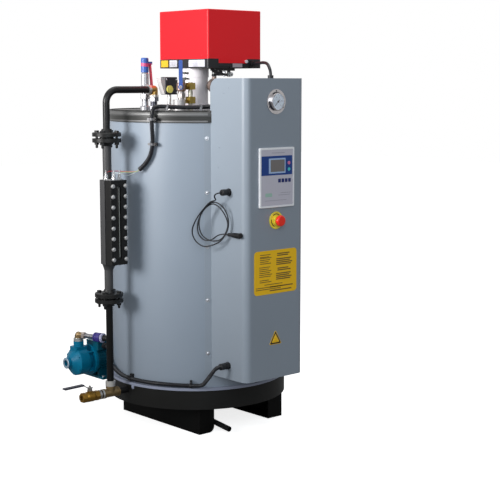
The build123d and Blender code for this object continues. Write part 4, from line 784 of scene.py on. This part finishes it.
# Clips: black nylon saddles on the base hose and on its way to the pump, light steel straps with a
# dark screw block on the drop from the lid, and two straps that tie the hose to the lid.
saddles = []
for share, width, height in ((0.213, 9, 30), (0.505, 15, 28), (0.8, 12, 28)):
    spot, axes, ring = hose_clip(base_line, base_way, share, 8.4, width)
    saddles += [ring, plate(placed((0, 4, -14), spot, axes), axes, width, height, 2, 12),
                plate(placed((0, 8, -2), spot, axes), axes, width - 2, 9, 2, 11)]
piece("base_saddles", saddles, gland_black)
straps, blocks = [], []
for share in (0.598, 0.778):
    spot, axes, ring = hose_clip(lid_line, lid_way, share, 8.8, 9)
    straps += [ring, plate(placed((-13, 0, -4), spot, axes), axes, 17, 9, 2, 3)]
    blocks += [plate(placed((14, 0, -7), spot, axes), axes, 13, 13, 3, 12),
               hexagon(placed((14, 0, 5), spot, axes), axes, 4.5, 3)]
for share in (0.168, 0.41):
    spot, axes, ring = hose_clip(lid_line, lid_way, share, 8.8, 7)
    straps += [ring, plate((*placed((0, 0, 9), spot, axes)[:2], 1264), axes, 8, 17, 1, 1.6)]
piece("hose_straps", straps, finish("grey strap", (0.16, 0.16, 0.17), 0.4, 0.3, dust=0.1))
piece("strap_blocks", blocks, gland_black)


# Burner: red enamelled sheet hood with a folded apron, on a black moulded tray with blank data
# plates, on a cast aluminium neck with a bolted foot.
hood_red = finish("gloss red enamel", (0.93, 0.009, 0.018), 0.38, fineness=500, depth=0.06,
                  patches=3, drift=0.04, specular=0.35, nodes="burner_cover")
tray_plastic = finish("black moulded plastic", (0.014, 0.014, 0.017), 0.42, fineness=900,
                      depth=0.25, dust=0.1, specular=0.4, nodes="burner_tray")
finish("cast aluminium", (0.86, 0.82, 0.85), 0.42, metallic=0.05, fineness=260, depth=0.5,
       nodes="burner_neck")
label_white = finish("white label", (0.68, 0.68, 0.74), 0.4, drift=0.05)
tray_left, tray_right, tray_front, label_z = -62, 213.5, -154.5, 1439
piece("tray_labels",
      [plate((tray_left, y, label_z), left_frame, width, 27, 2, 0.5, 0.2)
       for y, width in ((64.5, 49), (-84, 100))], label_white)
piece("tray_label_yellow", [plate((tray_left, 121, label_z), left_frame, 46, 27, 3, 0.5, 0.2)],
      finish("yellow label", (0.75, 0.46, 0.02), 0.4, drift=0.05))
piece("tray_label_front", [plate((89, tray_front, 1431.5), front_frame, 50, 15, 1.5, 0.5, 0.2)],
      finish("grey label", (0.42, 0.36, 0.4), 0.4, drift=0.05))
piece("label_rules",
      [plate((tray_left - 0.5, y, z), left_frame, length, 1.2, 0.3, 0.12, 0.03)
       for y, length in ((64.5, 34), (-60, 22), (-84, 14), (-110, 24))
       for z in (label_z + 6, label_z, label_z - 6)],
      finish("grey print", (0.36, 0.36, 0.42), 0.5))
piece("tray_plug",
      [turned(((0, -1), (6.5, -1), (6.5, 5), (5, 6.5), (0, 6.5)), (134, tray_front, 1447),
              front_frame, 20)], label_white)
piece("hood_screws",
      [screw_head((x, y, 1468), axes, 3.4, 2, 14)
       for x, axes in ((tray_left, left_frame), (tray_right, right_frame)) for y in (-118, 118)],
      hood_red)
neck_marks = []
for z in (1380, 1402):
    neck_marks += [plate((-54, -6, z), left_frame, 30, 7, 1, 7, 0.8),
                   hexagon((-61, -12, z), left_frame, 5, 4)]
piece("neck_clamp", neck_marks,
      finish("dark clamp", (0.16, 0.17, 0.165), 0.4, metallic=0.6, dust=0.1))
piece("neck_bolts",
      [hexagon(round_jacket(66, angle, 1268), up_frame, 7, 6) for angle in range(15, 375, 60)],
      zinc)


# Gas inlet: dark cast valve body fixed under the burner's tray, with a pale sealing ring round its
# mouth and a steel rod and lever.
finish("brown cast iron", (0.055, 0.034, 0.028), 0.42, depth=0.4, dust=0.15,
       nodes="gas_inlet_valve",
       zones=((back, -97, -79, (0.3, 0.22, 0.19), 0.35, 0.3),
              (up, 1388, 1404, (0.28, 0.29, 0.29), 0.35, 0.9),
              (up, 1404, 1425, (0.016, 0.016, 0.018), 0.4, 0)))
lever_outline = np.array(((-12, -6), (60, -4), (72, 0), (60, 4), (-12, 7), (-18, 0)))
piece("gas_lever",
      [stacked((lever_outline, lever_outline), (0, 4), (6, -112, 1408),
               ((0.97, 0, -0.24), (0.24, 0, 0.97), (0, -1, 0))),
       stacked((lever_outline * 0.8, lever_outline * 0.8), (0, 3), (4, -112, 1394),
               ((0.995, 0, 0.1), (-0.1, 0, 0.995), (0, -1, 0)))],
      tray_plastic)
piece("gas_ring",
      [band(5, 8.5, 4, (105, -98, 1397), front_frame, 24),
       turned(((0, 0), (3, 0), (3, 24), (0, 24)), (66, -100, 1388), up_frame, 14),
       hexagon((66, -100, 1402), up_frame, 7, 7)], zinc)


# Steam riser and column: black painted DN20 and DN25 pipe, brass elbow with bright sealing beads,
# cast iron flange pairs with black bolts.
finish("black iron", (0.007, 0.007, 0.0075), 0.36, fineness=260, depth=0.4, wear=0.4, bare=0.08,
       dust=0.1, dust_colour=0.1, specular=0.32,
       nodes="steam_pipe drain_nipple blowdown_pipe feed_pipe")
# The flanges' pale edges are partly chipped paint and partly a painted highlight along their rims.
finish("cast flange iron, worn edges with painted highlight", 0.007, 0.38, fineness=200, depth=0.6, wear=0.7,
       bare=0.14, dust=0.12, dust_colour=0.12, specular=0.35, nodes="upper_flanges lower_flanges")
finish("dull steel", (0.4, 0.4, 0.43), 0.3, metallic=1, dust=0.1, drift=0.2, patches=40,
       nodes="steam_riser", zones=((up, 1273, 1291, (0.1, 0.1, 0.12), 0.3, 1),))
finish("cast brass", (0.5, 0.3, 0.09), 0.33, metallic=0.9, depth=0.4, dust=0.1, drift=0.3,
       patches=30, nodes="steam_elbow",
       zones=((up, 1300, 1317, (0.66, 0.62, 0.56), 0.3, 0.8),
              (right, -245, -229, (0.66, 0.64, 0.63), 0.3, 0.8)))


# Level column: cast iron chamber and bolted cover, enamelled black, dome bolts, reflex glass in a
# long slot, and nickel plugs with thin stranded leads on top.
finish("chamber enamel", (0.06, 0.06, 0.062), 0.42, fineness=350, depth=0.5, wear=0.5, bare=0.2,
       dust=0.1, specular=0.35, nodes="level_chamber")
finish("cover enamel", 0.01, 0.42, depth=0.5, wear=0.4, bare=0.2, dust=0.1, specular=0.25,
       nodes="level_cover", zones=((back, -90, -75.3, 0.5, 0.42, 0.6),))
column_x, glass_z, glass_length = -436, 836.5, 284
glass_rows = [rounded_outline(17 - 2 * inset, glass_length - 2 - 2 * inset, 8 - inset)
              for inset in (0, 0, 1.5, 4)]
piece("sight_glass",
      [stacked(glass_rows, (-0.5, 3, 5, 6), (column_x, -67, glass_z), front_frame)],
      finish("dark reflex glass", (0.016, 0.017, 0.016), 0.12))
piece("sight_line",
      [plate((column_x + 1.8, -72.2, glass_z), front_frame, 2.6, glass_length - 22, 1.2, 1.2, 0.3)],
      finish("pale glass line", (0.36, 0.37, 0.34), 0.3, patches=25, drift=0.4))
probe_steel = finish("nickel plate", (0.75, 0.75, 0.76), 0.25, metallic=0.9, dust=0.05,
                     nodes="level_probes")
for number, colour in enumerate(((0.55, 0.04, 0.06), (0.6, 0.66, 0.66), (0.45, 0.55, 0.22)), 1):
    finish("probe_lead_%d insulation" % number, colour, 0.4, nodes="probe_lead_%d" % number)
piece("probe_nuts",
      [hexagon((column_x + x, y, 1018), up_frame, 5.2, 5) for x, y in
       ((-20, -20), (-6, -52), (20, -52))], probe_steel)


# Drain: black pipe with a bright collar, brass tee, union rings and a brass ball valve with a
# cranked steel lever in a soft sleeve.
finish("drain pipe paint", 0.004, 0.38, fineness=260, depth=0.4, wear=0.4,
       bare=0.08, dust=0.05, specular=0.2, nodes="drain_pipe",
       zones=((up, 180, 210.5, (0.6, 0.59, 0.57), 0.35, 0.6),))
finish("tee brass", (0.27, 0.19, 0.09), 0.36, metallic=0.75, fineness=250, depth=0.5, dust=0.1,
       drift=0.35, patches=22, nodes="drain_tee")
finish("valve brass", (0.3, 0.16, 0.022), 0.36, metallic=0.75, fineness=250, depth=0.4, dust=0.05,
       drift=0.3, patches=26, nodes="drain_valve",
       zones=((right, -494, -486, (0.55, 0.55, 0.54), 0.3, 0.9),
              (right, -486, -480, (0.02, 0.02, 0.022), 0.5, 0),
              (right, -480, -470, (0.6, 0.6, 0.58), 0.3, 0.9),
              (up, 186, 210, (0.42, 0.38, 0.33), 0.35, 0.9)))
finish("lever steel", 0.5, 0.35, metallic=0.9, dust=0.05, nodes="drain_lever",
       zones=((right, -670, -562, (0.03, 0.033, 0.055), 0.5, 0),))


# Feed pump: cast and enamelled teal, finned motor with a terminal box, bright port ring, union and
# foot bolts, brass elbow, and a plastic check valve in the feed run, coloured violet, with two pale
# bands painted on it as highlights.
bare_teal = (0.1, 0.3, 0.4)
finish("teal enamel", (0, 0.19, 0.34), 0.36, fineness=200, depth=0.5, wear=0.4, bare=bare_teal,
       specular=0.22, drift=0.25, patches=18, nodes="pump_head",
       zones=((right, -360, -351, (0.36, 0.48, 0.58), 0.35, 0.6),))
motor_teal = finish("dark teal enamel", (0, 0.12, 0.19), 0.36, fineness=220, depth=0.5, wear=0.5,
                    bare=bare_teal, specular=0.35, nodes="pump_motor")
pump_y, pump_z = 445, 190
piece("port_ring",
      [turned(((13.5, -2), (13.5, 1.2), (21, 1.2), (22.5, 0), (22.5, -2), (13.5, -2)),
              (-352, pump_y, pump_z), left_frame, 40)],
      finish("bare port face", (0.45, 0.58, 0.7), 0.35, metallic=0.4))
piece("pump_bolts",
      [hexagon((-228, pump_y + 55 * cos(turn), pump_z + 55 * sin(turn)), right_frame, 5, 5)
       for turn in np.radians((45, 135, 225, 315))]
      + [hexagon((x, y, 119.5), up_frame, 7.5, 6) for x in (-205, -125) for y in (382, 508)]
      + [screw_head((x, y, 273), up_frame, 3.6, 2.4, 14) for x in (-220, -158) for y in (399, 469)],
      zinc)
piece("fan_grille",
      [band(radius, radius + 2.6, 2.4, (-81.6, pump_y, pump_z), right_frame, 48)
       for radius in range(12, 50, 7)]
      + [plate((-82, pump_y + 26 * cos(turn), pump_z + 26 * sin(turn)),
               ((0, cos(turn), sin(turn)), (0, -sin(turn), cos(turn)), right),
               48, 2.6, 0.5, 1.2) for turn in np.radians((90, 210, 330))], motor_teal)
feed_way = (0.29998, -0.95394, 0)
feed_zero = -287 * feed_way[0] + pump_y * feed_way[1]
finish("outlet brass", (0.36, 0.25, 0.13), 0.34, metallic=0.8, dust=0.05, drift=0.3, patches=30,
       nodes="pump_outlet",
       zones=((up, 270, 291.5, (0.62, 0.66, 0.66), 0.3, 0.9),
              (feed_way, feed_zero + 23, feed_zero + 37, (0.62, 0.54, 0.5), 0.35, 0.7),
              (feed_way, feed_zero + 37, feed_zero + 99, (0.34, 0.34, 0.36), 0.22, 1)))
# Painted highlights: the two pale bands on the check valve stand for light caught on its glossy
# ridges.
finish("violet plastic with painted highlights", (0.045, 0.03, 0.25), 0.3, coat=0.2, nodes="feed_check_valve",
       zones=((feed_way, feed_zero + 96, feed_zero + 100, (0.4, 0.4, 0.7), 0.3, 0),
              (feed_way, feed_zero + 122, feed_zero + 136, (0.55, 0.55, 0.75), 0.3, 0)))


# Safety valve: turned brass body, nickel plated and screwed into the lid, with a blue cap, its red
# yoke, and a red test lever on a pin.
finish("nickel plated brass", (0.42, 0.42, 0.44), 0.34, metallic=0.6, drift=0.25, patches=40,
       nodes="safety_valve_body", zones=((up, 1290, 1330, (0.2, 0.2, 0.21), 0.25, 1),))
finish("blue cap", (0.025, 0.1, 0.4), 0.35, nodes="safety_valve_cap",
       zones=(((0.06, -0.06, 1), 1411, 1424, (0.6, 0.06, 0.2), 0.4, 0),))
finish("red lever", (0.85, 0.09, 0.15), 0.35, nodes="safety_valve_lever")


# Steam outlet valve: plated brass ball valve screwed on a white boss, with a blue plastic lever
# held on its stem by a nut.
finish("plated valve", (0.36, 0.33, 0.32), 0.36, metallic=0.6, drift=0.3, patches=40,
       nodes="steam_outlet_valve",
       zones=((up, 1250, 1298.5, (0.52, 0.5, 0.5), 0.4, 0.2),
              (up, 1329, 1365, (0.3, 0.21, 0.18), 0.35, 0.7)))
finish("blue lever", (0.02, 0.075, 0.34), 0.3, nodes="steam_outlet_lever")
stem_axes = ((0.750708, -0.660623, 0), up, (-0.660623, -0.750708, 0))
nut_spot = placed((0, 0, 34.2), (-113, -50, 1347), stem_axes)
piece("outlet_lever_nut", [hexagon(nut_spot, stem_axes, 6.5, 5)], zinc,
      "steam_outlet_lever")


# Vent fitting: bright pipe beside the neck with two square brass blocks screwed on it, each closed
# by a hexagon plug.
finish("vent fitting metal", (0.5, 0.48, 0.39), 0.36, metallic=0.4, drift=0.1, nodes="vent_fitting",
       zones=((up, 1282.5, 1309.5, (0.55, 0.4, 0.11), 0.3, 0.8),
              (up, 1336.5, 1363.5, (0.55, 0.4, 0.11), 0.3, 0.8)))
piece("vent_plugs", [hexagon((-92, -64, z), left_frame, 8, 6) for z in (1296, 1350)],
      finish("plug brass", (0.5, 0.36, 0.1), 0.3, metallic=0.9))


# Pressure switch: black moulded box on a plated riser, pale yellow dial on its face, and a light
# tapered cable cover on its side.
finish("switch case", (0.017, 0.017, 0.026), 0.35, fineness=700, dust=0.1, nodes="pressure_switch",
       zones=((back, 10, 19.9, (1, 0.88, 0.22), 0.4, 0),
              (right, -170, -136.2, (0.62, 0.6, 0.6), 0.4, 0),
              (up, 1250, 1316.5, (0.72, 0.71, 0.7), 0.35, 0.5)))
piece("switch_dial",
      [band(11, 12.2, 0.8, (-116, 16, 1338), front_frame, 32),
       plate((-116, 16, 1338), front_frame, 2, 16, 0.5, 1.2)],
      finish("dial line", (0.75, 0.64, 0.14), 0.4))
piece("switch_screws",
      [screw_head((x, 20, z), front_frame, 3, 1.6, 12) for x, z in
       ((-82, 1376), (-130, 1376), (-82, 1325))], zinc)
